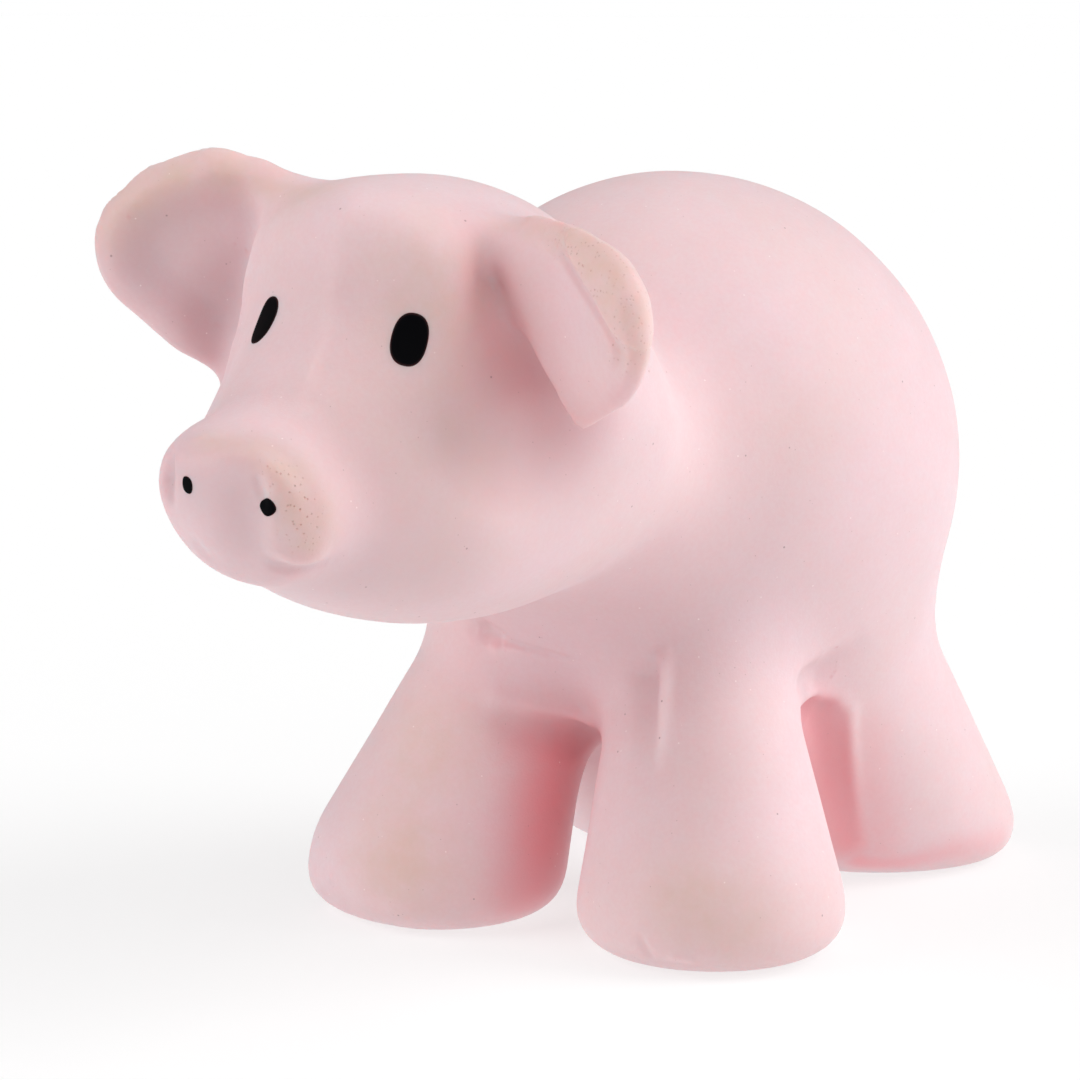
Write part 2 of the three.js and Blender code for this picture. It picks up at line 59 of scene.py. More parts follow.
# The casting's form, in millimetres, with the torso's middle above x = y = 0 and the floor at z = 0.
# Each size is the one that the solids were made with.
TORSO = {"size": (51, 58.2, 52.6), "place": (0, 0, 41.3), "pitch": -19}
SKULL = {"size": (35.6, 20.4, 50.6), "place": (0, -39.1, 52.3), "pitch": 55.6}
JAW = {"size": (32, 50.2, 24.8), "place": (0, -42.8, 44.3), "pitch": 0}
MUZZLE_ROOT = (0, -43.2, 53.7)
MUZZLE_RADII = (14.2, 5.8)
MUZZLE_SETBACK = 3.5
SNOUT_PLACE = np.array((0, -70.65, 45.1))
SNOUT_SIZE = (16.6, 5.9, 12.8)
SNOUT_PITCH = 21
HEAD_PIVOT = np.array((0, -26.4, 52.8))
HEAD_TILT = 7.5
EAR_PLACE = np.array((19.8, -54.7, 62.9))
EAR_CORNERS = ((-0.2, -1.9), (-4.7, -0.1), (-4, -4.6))
EAR_CORNER_RADIUS = 7.3
EAR_THICKNESS = 4.8
EAR_SWEEP = 18.8
EAR_LEAN = 7.2
EAR_CUP_RADIUS = 89
EAR_CUP_START = 7
EAR_DISH = 1.4
EAR_RIM = 1.8
EAR_DISH_SLOPE = 4
FRONT_HIP = (8.7, -13, 27.8)
FRONT_FOOT = (14.3, -20.7, 3.6)
FRONT_RADII = (6.7, 11.9)
REAR_HIP = (5.8, 8.5, 21.1)
REAR_FOOT = (12.6, 22.6, 1.5)
REAR_RADII = (14.9, 11.8)
PLUG_PLACE = (13.6, 18.2)
WALL = 2.8
TAIL_HEIGHT = 47
TAIL_CURL = 3.4
TAIL_RADIUS = 1.6
TAIL_TURNS = 1.15
TAIL_LIFT = 2.6
TAIL_SINK = 1.2
TAIL_POINTS = 25

# Swells of a skin finished by hand: depth in millimetres, and length and shift along x, y and z
WAVE_DEPTH = 0.06
WAVE_SIZES = (2.3, 2.9, 2.6)
WAVE_SHIFTS = (0.4, 1.7, 2.9)

# How the skin's mesh is shaped: rounds with a coarser mesh, in mesh spacings, and the furthest that a point
# moves in a round, in millimetres. Tight bends and the marks narrower than each width are cut finer, on this
# many widths to each side.
SHAPING_ROUNDS = 9
SHAPING_COARSENESS = 1.5
SHAPING_REACH = 1
TIGHT_BEND = math.radians(14)
CUT_WIDTHS = (2.2, 0.81)
CUT_REACH = 2

# Points closer than the first are one, forms farther than the second don't count, and the solids' walls are
# met within the third, in millimetres
MERGED = 0.002
FAR = 50.0
TOLERANCE = 0.05

# How far the rubber's shelter is felt for, in millimetres, and how much each distance counts; the shelter
# sets where painted shade deepens the pink of the hollows
SHELTER_REACHES = ((2, 0.25), (5, 0.35), (11, 0.4))

# The painted spots on the upright head: how far out to the pig's left, how high, how wide and tall, in
# millimetres, and the degrees that the top leans to the pig's right
SPOTS = {
    "eye_left": {"out": 7, "height": 58, "size": (2.9, 4.3), "lean": -8},
    "eye_right": {"out": -6, "height": 57.3, "size": (2.7, 4.2), "lean": 14},
    "nostril_left": {"out": 4.6, "height": 45.7, "size": (1.6, 1.36), "lean": 30},
    "nostril_right": {"out": -3, "height": 45.9, "size": (1.15, 1.42), "lean": -6},
}
SPOT_SQUARENESS = 2.4

# A spot's place is sought from y, in front of the face, in so many steps. The film's underside lies this deep
# in the rubber, and the film settles on the skin in so many steps.
SPOT_SEARCH_START = -80
SPOT_SEARCH_ROUNDS = 80
FILM_ROOT = 0.12
FILM_ROUNDS = 12

# The other pieces' sizes, in millimetres, as the solids have them
HOLE_RADIUS = 4.3
PLUG_GAP = 0.3
PLUG_LIP_RADIUS = 5.8
PLUG_LIP_THICKNESS = 1.6
PLUG_DISH_DEPTH = 0.25
PLUG_DISH_INSETS = (1.4, 1.1)
CAPSULE_RADIUS = 8
CAPSULE_LENGTH = 28
CAPSULE_WALL = 1.2
CAPSULE_SEAM = 3
CAPSULE_GAP = 0.3
SPIGOT_WALL = 0.9
SPIGOT_LENGTH = 3
BEAD_RADIUS = 1.5

# How softly neighbouring forms run into each other
FACE_BLEND = 7
SNOUT_BLEND = 3.5
SNOUT_RIM_BLEND = 3
EAR_RIM_BLEND = 3.5
EAR_ROOT_BLEND = 3.5
LEG_BLEND = 6.2
SOLE_BLEND = 4.4
NECK_BLEND = 8.8
TAIL_BLEND = 1.2

# The left ear was shaped on its own. Its front is a flat facet with these corners, in the ear's frame, under
# a band that stands up to its edge and fades out inwards. Its lower inner edge stands clear of the head: a
# point on it, the way it faces, how softly it is rounded low down and high up, and at which heights. A
# hollow widens downwards behind that edge.
FACET = ((-12, 4.4), (-3.2, 4.4), (7.2, -3), (7, -5.1), (0.2, -10.8), (-12, 0))
FACET_STEP = 0.6
FACET_STEP_WIDTH = 0.7
FACET_FADE = (-1, -6)
EAR_FREE_PLACE = (-10.1, 0.4)
EAR_FREE_WAY = (-0.803, -0.596)
EAR_FREE_BLENDS = (1, 3)
EAR_FREE_HEIGHTS = (-6, 2)
HOLLOW_TOP = (11.6, -53.4, 61.2)
HOLLOW_BOTTOM = (17.3, -54.3, 50.8)
HOLLOW_RADII = (1, 4.8)
HOLLOW_BLEND = 6

# Marks of the modeller's tools and of the mould, as lines on the skin: x, y, z, depth and width at each
# point, in millimetres. A minus depth raises the rubber.
MARKS = {
    "bridge_ridge": ((1.3, -61, 63, 0, 1.3), (1.2, -61.5, 60, -0.2, 1.2), (2.1, -63.6, 56.3, -0.32, 1.1),
        (2.3, -65.7, 54.1, -0.32, 1.1), (2.6, -67.8, 52, -0.15, 1.5)),
    "bridge_furrow": ((2.4, -63.3, 56.6, 0.1, 0.8), (2.7, -64.8, 55, 0.28, 0.7), (3, -67, 52.7, 0.15, 0.8)),
    "forehead_line": ((-0.2, -56.2, 68.8, 0, 1.4), (1.6, -59.6, 67, -0.22, 1.2),
        (1.6, -61, 63.5, -0.22, 1.2), (1.1, -61.5, 60, 0, 1.4)),
    "far_brow_edge": ((-8.7, -56.3, 65.6, -0.15, 1.1), (-8.8, -57.1, 63.7, -0.35, 1.1),
        (-9.7, -56.9, 61.7, -0.45, 1.1), (-11.6, -55.6, 59.1, -0.45, 1.1), (-12.3, -55.8, 56.2, -0.4, 1.1),
        (-11.4, -58, 54.2, -0.2, 1.1)),
    "snout_rim_groove": ((-2.7, -73.2, 51.1, 0.1, 1.1), (0.1, -73.9, 50.6, 0.2, 1),
        (2.7, -73.4, 50.1, 0.22, 1), (4.7, -73.1, 48.9, 0.2, 1), (6.1, -73, 47.1, 0.18, 1.1),
        (6.7, -72.6, 44.6, 0.18, 1.2), (6.3, -71.8, 42.2, 0.1, 1.3)),
    "snout_rim": ((-2.4, -74.3, 50.3, -0.1, 0.9), (0.5, -74.5, 49.9, -0.15, 0.9),
        (2.8, -74.1, 49.3, -0.12, 0.9), (4.6, -73.8, 48.2, -0.12, 1), (5.8, -73.5, 46.3, -0.12, 1),
        (6.1, -73.1, 44.2, -0.1, 1.1), (5.8, -72.5, 42.4, -0.05, 1.1)),
    "far_nostril_dimple": ((-6, -73.1, 48.2, 0.25, 0.75), (-6.3, -73, 47.2, 0.7, 0.85),
        (-6.6, -72.7, 46.3, 0.85, 0.85), (-6.7, -72.7, 45.3, 0.55, 0.8), (-6.9, -72.5, 44.6, 0.15, 0.75)),
    "snout_edge": ((-3.2, -74.6, 49.5, 0.15, 0.8), (-0.8, -74.7, 49.9, 0.3, 0.7),
        (1.7, -74.3, 49.6, 0.25, 0.8), (3.5, -74.2, 48.9, 0.1, 1)),
    "near_nostril_crease": ((3, -74.6, 47.7, 0.05, 0.45), (3, -74.6, 47, 0.22, 0.42),
        (3.2, -74.4, 46.1, 0.25, 0.42), (3.3, -74.3, 45.6, 0.1, 0.45)),
    "bridge_trim": ((-10.9, -58.3, 55, 0.3, 3.5), (-10, -61.4, 52.9, 0.5, 3.5),
        (-8.9, -64.6, 50.8, 0.55, 3)),
    "snout_trim": ((-3.5, -72.1, 51.4, 0.4, 3), (-5, -73, 50.5, 0.45, 3.5), (-6.6, -73.6, 48.9, 0.55, 4),
        (-7.8, -73.3, 46.2, 0.6, 4.2), (-7.6, -72.6, 43.5, 0.6, 3.8), (-6.3, -72.1, 41.4, 0.6, 3),
        (-4.9, -71.4, 39.8, 0.5, 2.6), (-3.2, -71.1, 38.9, 0.5, 2.4), (-0.9, -70.7, 38.3, 0.45, 2.4),
        (1.4, -69.8, 37.7, 0.1, 2.4)),
    "far_ear_trim": ((-23.7, -58.8, 63.7, 0.2, 3), (-23.1, -58.6, 66.6, 0.4, 3),
        (-22.1, -58, 68.5, 0.75, 3), (-19.7, -57, 70, 0.35, 3)),
    "far_ear_top_trim": ((-15.2, -55.3, 71.4, 0.1, 2.6), (-13.3, -54.7, 71.6, 0.4, 3),
        (-11.8, -54, 71.4, 0.65, 3), (-10, -53.2, 70.6, 0.4, 2.6)),
    "foot_trim": ((-21, -30.5, 4, 0.4, 3), (-20.5, -30.6, 2.8, 0.65, 3), (-17.9, -31.5, 2.2, 0.75, 3),
        (-15.2, -31.6, 1.6, 0.4, 3)),
    "near_ear_top": ((14.2, -52.4, 67.6, 0.4, 2.6), (16.2, -53.4, 67.7, 1.1, 2.6),
        (18.4, -54.3, 67.3, 1.1, 2.6), (20.4, -54.9, 66.4, 0.5, 2.4)),
    "ear_tip_trim": ((17.3, -53.8, 52.6, 0.3, 2), (18.7, -54.2, 51.5, 0.6, 2), (20.9, -55.2, 52.5, 0.3, 2)),
    "near_ear_side": ((24.9, -57.4, 62.6, -0.3, 2.4), (25.9, -57.8, 60.8, -0.6, 2.4),
        (26.2, -58, 58.5, -0.65, 2.2), (25.6, -57.5, 56.6, -0.2, 2)),
    "snout_valley": ((1.5, -74.6, 49.3, 0.1, 2), (1.9, -74.4, 45.6, 0.35, 2.2),
        (1.4, -73.3, 42, 0.25, 2.2)),
    "nostril_wing": ((4, -74.3, 48.1, -0.12, 0.9), (4.3, -74.3, 46.5, -0.2, 0.9),
        (4, -73.8, 44.2, -0.25, 0.9), (3.2, -73, 41.7, -0.2, 1.1)),
    "lip_fold": ((2.3, -72.9, 41.3, 0.1, 1), (3, -72.3, 40.3, 0.4, 0.75), (4, -71.7, 40, 0.5, 0.65),
        (4.9, -70.3, 39.9, 0.4, 0.75), (5.7, -68.6, 40.4, 0.1, 1)),
    "lip_roll": ((3.6, -72.7, 41.3, -0.1, 0.8), (4.5, -72.2, 40.9, -0.25, 0.8), (6, -70.8, 41.1, -0.15, 1)),
    "mouth_corner": ((-4.3, -72.5, 40.9, 0.5, 0.8), (-3.6, -72.1, 40, 0.6, 0.9),
        (-1.9, -72.3, 39.8, 0.35, 1.1), (0.4, -72.6, 40.2, 0.2, 1.2)),
    "chest_dimple": ((-8.5, -23.2, 27.2, 0.25, 0.9), (-7.3, -23.4, 27, 0.9, 0.95),
        (-6.1, -23.4, 26.7, 0.7, 0.8), (-5.5, -23.3, 26.5, 0.15, 0.6)),
    "chest_seam": ((-5.5, -23.3, 26.5, 0.15, 0.4), (-3.1, -22.9, 25.9, 0.22, 0.4),
        (-0.4, -22.2, 25.3, 0.22, 0.4), (1.2, -22, 25, 0.05, 0.4)),
    "chest_seam_lip": ((-6.5, -23, 25.7, -0.25, 0.9), (-3.3, -22.4, 25, -0.1, 0.9),
        (-0.7, -21.6, 24.3, 0, 0.9)),
    "chest_edge": ((-6.4, -23.1, 21.1, -0.25, 1.1), (-3.8, -21.6, 20.1, -0.4, 1),
        (-1.8, -19.7, 19.5, -0.45, 1), (0.4, -18.4, 18.9, -0.35, 0.9)),
    "chest_undercut": ((-4.8, -22.6, 18.8, 0.5, 1.8), (-2.8, -20.6, 18, 0.9, 1.8),
        (-0.9, -17.6, 17, 1, 1.6)),
    "leg_ridge": ((10.5, -22.7, 26.6, -0.2, 0.7), (10.7, -22.8, 25, -0.55, 0.6),
        (11, -23.5, 22.7, -0.65, 0.65), (11.7, -25.1, 19.9, -0.4, 0.75), (12.2, -26.6, 17.3, -0.1, 1)),
    "leg_hollow": ((8.9, -22.8, 26.4, 0.1, 1.4), (8.8, -22.4, 24.4, 0.7, 1.6), (9.2, -23.2, 22.4, 0.6, 1.7),
        (10.2, -25.1, 19.7, 0.35, 1.6), (10.9, -26.8, 16.9, 0.1, 1.8)),
    "crotch_valley": ((18.5, -12.4, 23, 0.2, 1.2), (18, -9.6, 22.8, 1.1, 1.3), (18.1, -6.8, 23.3, 0.7, 1.6),
        (19.3, -4.8, 24.6, 0.3, 2.2), (20.9, -2.8, 26.4, 0, 2.6)),
    "hind_leg_edge": ((17, -7.4, 21.2, -0.3, 0.9), (17, -4.5, 20.4, -0.45, 0.9),
        (17.7, -2.2, 19.7, -0.3, 1), (18.3, -0.4, 18.5, -0.1, 1.1)),
    "hind_leg_undercut": ((16.2, -5.4, 19.5, 1.1, 1.3), (16.6, -3.3, 18.8, 1.3, 1.4),
        (16.2, -1.1, 15.8, 1.2, 1.6), (15.8, 1.6, 11.4, 1, 1.8), (15.7, 4.3, 7.1, 0.7, 1.8),
        (15.6, 6.7, 3.7, 0.3, 1.6)),
    "hind_leg_stripe": ((18.2, -0.4, 18.5, -0.2, 0.8), (17.4, 1.4, 14.5, -0.4, 0.8),
        (16.9, 3.3, 10.3, -0.4, 0.85), (16.3, 6.3, 4.8, -0.2, 0.9)),
    "foot_crease": ((13.6, -32.6, 3.9, 0.05, 0.5), (13.7, -32.4, 3, 0.25, 0.45), (14.2, -32, 2, 0.2, 0.45)),
    "foot_nick": ((16.5, -31.9, 2.1, -0.25, 0.45), (17.3, -31.6, 2, -0.3, 0.4),
        (17.9, -31.4, 1.9, -0.2, 0.4)),
    "ear_crease": ((15.3, -53.4, 65.7, 0.05, 1), (16.9, -54.1, 64.9, 0.2, 0.7),
        (19.3, -55.3, 63.2, 0.35, 0.55), (21.2, -56.1, 61.2, 0.45, 0.5), (22.9, -56.8, 59.5, 0.5, 0.5),
        (24, -57.4, 58.4, 0.6, 0.5), (24.9, -57.8, 57.2, 0.6, 0.55), (25, -57.7, 56.3, 0.4, 0.6),
        (24.1, -57, 54.7, 0.1, 0.8)),
    "far_ear_hollow": ((-11.1, -54.8, 64.9, 0.5, 1.6), (-11.6, -55.1, 62.7, 1.3, 1.9),
        (-12.9, -54.6, 59.9, 1.6, 2), (-14, -54.6, 56.8, 1.6, 2), (-14.5, -54.9, 54.6, 1, 1.8)),
}

# Where the rubber has ripened yellow, with the same tan as painted shade under the left ear's top rim, where
# painted shade glows red, where painted shade darkens the face and the far ear, where a painted highlight
# lies on a crest, and where the mould's skin left it pitted: x, y, z, strength and width
TINTS = {
    # Yellowed rubber, and under the left ear's top rim the same tan as painted shade
    "ripe_and_shade": (
        ((11.2, -53.1, 65.8, 0.4, 1.6), (12.8, -52.2, 66.2, 0.6, 1.6), (16.6, -54, 66, 0.8, 1.8),
         (20.1, -56, 65.3, 1, 2.2), (22.9, -57.1, 63.7, 1, 2.6), (25.1, -57.9, 61.6, 1, 2.6),
         (26.4, -57.9, 59.1, 0.9, 2.4), (26.6, -57.1, 56.8, 0.6, 2)),
        ((-22.7, -59.1, 64.9, 0.7, 2.2), (-21.2, -58.9, 66.7, 1, 2.6), (-18.8, -58, 68.6, 1, 2.6),
         (-14.5, -56.3, 70.4, 0.8, 2.6), (-10.1, -54.8, 69.5, 0.9, 2.4), (-3.7, -56.7, 68.2, 0.6, 3)),
        ((-2.7, -74.5, 50, 0.5, 1.2), (0.5, -74.5, 49.9, 0.6, 1.2), (3, -73.9, 49.5, 0.8, 1.4),
         (5.3, -73.5, 47.8, 0.9, 2), (6.4, -73, 45.4, 0.9, 2.4), (6.3, -72.1, 42.6, 0.7, 2.4)),
        ((8, -59.2, 63.1, 0.5, 5), (9.8, -58.4, 60.2, 0.7, 6), (10.5, -57.9, 56.2, 0.5, 6)),
        ((11.1, -59, 49.3, 0.4, 8), (12, -58.2, 44.5, 0.3, 8)),
        ((-11.4, -26.6, 17.3, 0.7, 5), (-11.8, -29.3, 12.2, 0.5, 5), (-11.4, -31.7, 7.2, 0.8, 5)),
        ((17.9, -31.6, 6.8, 0.8, 3.5), (21.4, -30, 5.6, 0.5, 4)),
    ),
    # Painted shade, red, between the legs, under the chest and under the left ear
    "painted_red_shade": (
        ((16.2, -4.5, 19, 1, 2.2), (15.9, -1.7, 15.8, 1, 2.6), (15.3, 1.9, 10.4, 1, 2.8),
         (15, 5.8, 4.3, 0.9, 2.6)),
        ((18.7, 2.4, 16.3, 0.25, 2.4), (18.1, 4.8, 10.1, 0.35, 2.6), (17.4, 8.2, 3.6, 0.35, 3)),
        ((15.4, 8.1, 2.2, 0.8, 1.6), (18.4, 10.7, 2, 0.6, 1.4), (21.9, 14.5, 2.9, 0.4, 1.4),
         (24.1, 21.6, 2.9, 0.3, 1.4)),
        ((-3.8, -21.4, 16.6, 0.5, 3.4), (-2.4, -19.9, 15, 0.75, 4.4), (-2.1, -20.2, 12, 0.82, 4.8),
         (-2.3, -21.4, 8, 0.72, 4.8), (-2.6, -23, 4, 0.5, 4.2)),
        ((10.8, -53.2, 59.8, 0.2, 2), (11.5, -52, 56.2, 0.4, 2.4), (12.3, -51, 52.5, 0.5, 2.6),
         (13.1, -50, 49.7, 0.4, 2.4)),
    ),
    # Painted shade on the snout, the jaw, the cheek, the far nostril's dimple and the far ear
    "painted_face_shade": (
        ((-6.1, -73.1, 47.7, 0.9, 0.9), (-6.6, -72.7, 46.3, 1, 1), (-6.7, -72.7, 45.1, 0.9, 0.9)),
        ((-16.8, -54.5, 55, 0.6, 3), (-15.9, -53.6, 58.5, 0.7, 3), (-14, -53.6, 62, 0.5, 3)),
        ((-3.4, -74, 46.1, 0.6, 3.5), (0.6, -74.1, 45.5, 0.8, 4), (0.6, -73.5, 43.1, 0.7, 4)),
        ((0.2, -71.6, 39.4, 0.5, 5), (5.9, -64.7, 39.3, 0.7, 6), (9.5, -60.1, 39.7, 0.7, 7)),
        ((10.9, -57.6, 47.5, 0.7, 4.5), (12.7, -51.6, 47.4, 0.8, 5.5), (14.7, -48.7, 46, 0.6, 6)),
        ((-21, -57.5, 62, 0.5, 4), (-18, -56.8, 66, 0.5, 3)),
    ),
    # A painted highlight on the left front leg's ridge
    "painted_highlight": (
        ((10.6, -22.7, 25.6, 0.3, 0.45), (10.8, -22.9, 24.4, 0.8, 0.45), (11, -23.5, 22.7, 0.9, 0.45),
         (11.7, -25.1, 19.9, 0.5, 0.5), (12.2, -26.6, 17.3, 0.1, 0.6)),
    ),
    "pitted": (
        ((3.8, -74.3, 48.2, 0.5, 1), (5.1, -73.9, 47.2, 1, 1.3), (6.1, -73.3, 45.4, 1, 1.5),
         (5.9, -72.8, 43, 0.8, 1.5)),
        ((17.8, -54.2, 65.2, 0.6, 1), (21, -56.8, 63.4, 1, 1.1), (23.2, -57.9, 61.4, 0.9, 1.1),
         (24.8, -58.8, 59.7, 0.9, 1.1), (25.1, -57.7, 57.7, 1, 1.2), (25.5, -57.7, 56.2, 0.8, 1.2)),
        ((21.1, -56.1, 65.1, 0.8, 1), (23.9, -57.1, 63.6, 0.5, 1.4), (26, -57.8, 60.8, 0.5, 1.4),
         (27, -57.3, 58.1, 0.5, 1.4)),
    ),
}

# Where the pig stands in the frame, which the bung's middle gives, and where its rattle capsule lies
PLUG_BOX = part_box("pour_plug")
PLUG_MIDDLE = (PLUG_BOX[0] + PLUG_BOX[1]) / 2
PLACE = np.array((PLUG_MIDDLE.x / MM - PLUG_PLACE[0], PLUG_MIDDLE.y / MM - PLUG_PLACE[1], 0))
CAPSULE_MIDDLE = (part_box("rattle_cup")[0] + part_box("rattle_cap")[1]) / 2


def linear(hex_colour):
    """An sRGB hex colour as linear red, green and blue."""
    shares = [int(hex_colour[i:i + 2], 16) / 255 for i in (1, 3, 5)]
    return tuple(s / 12.92 if s <= 0.04045 else ((s + 0.055) / 1.055) ** 2.4 for s in shares)


# Soft lights: name, the way to it and strength
LIGHTS = (
    ("back_right", (0.75, 0.45, 0.5), 2.09),
    ("front_right", (0.75, -0.45, 0.5), 0.67),
    ("front_left", (-0.6, -0.6, 0.5), 1.75),
    ("top", (0.1, 0, 1), 0.55),
    ("top_right", (0.5, 0.25, 0.9), 0.41),
)
LIGHT_SOFTNESS = math.radians(50)

# The camera: the point it looks at in the pig's millimetres, its azimuth, elevation and roll in degrees, its
# distance in millimetres, and its lens and sensor width
CAMERA_AIM = (-3.84, -19.82, 35.31)
CAMERA_TURNS = (30.06, 8.28, 0.15)
CAMERA_DISTANCE = 329.35
CAMERA_LENS = 121.63
CAMERA_SENSOR = 36
FLOOR_RADIUS = 40


# Sizes and colours that a user would change

def colour_setting(name, description, code):
    """A colour that can be set, with its usual value as a hex code."""
    return bpy.props.FloatVectorProperty(name=name, description=description, subtype="COLOR", size=3, min=0,
                                         max=1, default=linear(code))


class RubberSettings(bpy.types.PropertyGroup):
    """Sizes and colours of the cast skin"""
    spacing: bpy.props.FloatProperty(
        name="Mesh spacing", description="Distance between neighbouring points of the skin",
        default=0.0008, min=0.0004, max=0.003, unit="LENGTH", precision=5)
    pink: colour_setting("Pink", "Colour of the rubber", "#E5CBD0")
    # The yellowed tint also serves as painted shade under the left ear's top rim
    ripe_and_shade: colour_setting("Ripened rubber", "Warm tint where the rubber has yellowed", "#D9BCB0")
    # The flush mottles the rubber and is also the painted shade of its hollows
    flush: colour_setting("Flush", "Deeper pink that shines through the rubber", "#D89AA0")
    # The glow is a red painted shade between the legs and under the ears
    glow: colour_setting("Glow", "Red that light takes on between the legs and under the ears", "#EE9299")


class FaceSettings(bpy.types.PropertyGroup):
    """Sizes and colours of the painted face"""
    film: bpy.props.FloatProperty(
        name="Paint film", description="Thickness of the paint that stands on the rubber",
        default=0.00006, min=0.00002, max=0.0005, unit="LENGTH", precision=6)
    black: colour_setting("Paint", "Colour of the paint", "#050507")


class StageSettings(bpy.types.PropertyGroup):
    """The floor, the lights and the camera"""
    floor: colour_setting("Floor", "Colour of the frosted light table", "#9C9C9C")
    glow: bpy.props.FloatProperty(
        name="Glow", description="Strength of the light that comes through the table", default=0.66, min=0)
    key: bpy.props.FloatProperty(
        name="Lights", description="Strength of the soft lights, in watts for a square metre", default=1,
        min=0)
    fill: bpy.props.FloatProperty(
        name="Fill", description="Strength of the light from all around", default=0.02, min=0)


# Signed distances: each takes points, one a row, and gives millimetres, negative inside

def joined(a, b, blend):
    """Two forms that run into each other."""
    near = np.maximum(blend - np.abs(a - b), 0) / blend
    return np.minimum(a, b) - near * near * blend / 4


def common(a, b, blend):
    """What two forms share, its edge rounded."""
    return -joined(-a, -b, blend)


def eased(share):
    share = np.clip(share, 0, 1)
    return share * share * (3 - 2 * share)


def turned(points, degrees, axis):
    """Points turned about the row axis of that number by the right-hand rule."""
    turn = np.array(Matrix.Rotation(math.radians(degrees), 3, "XYZ"[axis]))
    return points @ turn.T


def egg(points, size, place, pitch):
    half = np.array(size) / 2
    q = turned(points - place, -pitch, 0) / half
    reach = np.linalg.norm(q, axis=1) + 1e-9
    steepness = np.linalg.norm(q / half, axis=1) + 1e-9
    return reach * (reach - 1) / steepness


def round_cone(points, start, end, radii):
    """Two balls and the cone that wraps them."""
    start = np.array(start, float)
    axis = np.array(end, float) - start
    length2 = axis @ axis
    drop = radii[0] - radii[1]
    side2 = length2 - drop * drop
    q = points - start
    along = q @ axis
    past = along - length2
    across2 = ((q * length2 - np.outer(along, axis)) ** 2).sum(1)
    slope = np.sign(drop) * drop * drop * across2
    side = (np.sqrt(across2 * side2 / length2) + along * drop) / length2 - radii[0]
    first = np.sqrt(across2 + along ** 2 * length2) / length2 - radii[0]
    last = np.sqrt(across2 + past ** 2 * length2) / length2 - radii[1]
    value = np.where(np.sign(along) * side2 * along ** 2 * length2 < slope, first, side)
    return np.where(np.sign(past) * side2 * past ** 2 * length2 > slope, last, value)


def polygon_edge(u, v, corners):
    """Signed distance to a flat convex polygon."""
    nearest = np.full(len(u), np.inf)
    inside = np.full(len(u), np.inf)
    a, b, c = corners[:3]
    turn = math.copysign(1, (b[0] - a[0]) * (c[1] - a[1]) - (b[1] - a[1]) * (c[0] - a[0]))
    for i, start in enumerate(corners):
        end = corners[(i + 1) % len(corners)]
        along = (end[0] - start[0], end[1] - start[1])
        w = (u - start[0], v - start[1])
        share = np.clip((w[0] * along[0] + w[1] * along[1]) / (along[0] ** 2 + along[1] ** 2), 0, 1)
        nearest = np.minimum(nearest, np.hypot(w[0] - share * along[0], w[1] - share * along[1]))
        inside = np.minimum(inside, turn * (along[0] * w[1] - along[1] * w[0]))
    return np.where(inside > 0, -nearest, nearest)


def to_head(points):
    """Points of the pig as points of its upright head."""
    return turned(points - HEAD_PIVOT, -HEAD_TILT, 1) + HEAD_PIVOT


def from_head(points):
    return turned(points - HEAD_PIVOT, HEAD_TILT, 1) + HEAD_PIVOT


def to_ear(upright, side):
    """Points of the upright head in an ear's own frame: x out to the tip, z up, -y forward."""
    return turned(turned(upright * (side, 1, 1) - EAR_PLACE, EAR_SWEEP, 2), -EAR_LEAN, 0)


def ear(upright, side):
    q = to_ear(upright, side)
    edge = polygon_edge(q[:, 0], q[:, 2], EAR_CORNERS) - EAR_CORNER_RADIUS
    cup = np.maximum(q[:, 0] - EAR_CORNERS[0][0] + EAR_CUP_START, 0) ** 2 / (2 * EAR_CUP_RADIUS)
    forward = -q[:, 1] - cup
    if side < 0:
        dish = EAR_DISH * eased((-edge - EAR_RIM) / EAR_DISH_SLOPE)
    else:
        fade = (FACET_FADE[0] - q[:, 0]) / (FACET_FADE[0] - FACET_FADE[1])
        width = FACET_STEP_WIDTH * (1 + 4 * eased(fade))
        dish = EAR_DISH - FACET_STEP * eased(polygon_edge(q[:, 0], q[:, 2], FACET) / width)
    slab = np.maximum(forward - EAR_THICKNESS / 2 + dish, -forward - EAR_THICKNESS / 2)
    leaf = common(edge, slab, EAR_RIM_BLEND)
    if side < 0:
        return leaf
    across, up = q[:, 0] - EAR_FREE_PLACE[0], q[:, 2] - EAR_FREE_PLACE[1]
    free = across * EAR_FREE_WAY[0] + up * EAR_FREE_WAY[1]
    sharp, soft = EAR_FREE_BLENDS
    low, high = EAR_FREE_HEIGHTS
    return common(leaf, free, sharp + (soft - sharp) * eased((q[:, 2] - low) / (high - low)))


def snout(upright):
    width, thickness, depth = SNOUT_SIZE
    q = turned(upright - SNOUT_PLACE, -SNOUT_PITCH, 0)
    edge = (np.hypot(2 * q[:, 0] / width, 2 * q[:, 2] / depth) - 1) * depth / 2
    return common(edge, np.abs(q[:, 1]) - thickness / 2, SNOUT_RIM_BLEND)


def head(points):
    upright = to_head(points)
    tip = SNOUT_PLACE + (0, MUZZLE_SETBACK, 0)
    field = joined(egg(upright, **SKULL), egg(upright, **JAW), FACE_BLEND)
    field = joined(field, round_cone(upright, MUZZLE_ROOT, tip, MUZZLE_RADII), FACE_BLEND)
    return joined(field, snout(upright), SNOUT_BLEND), upright


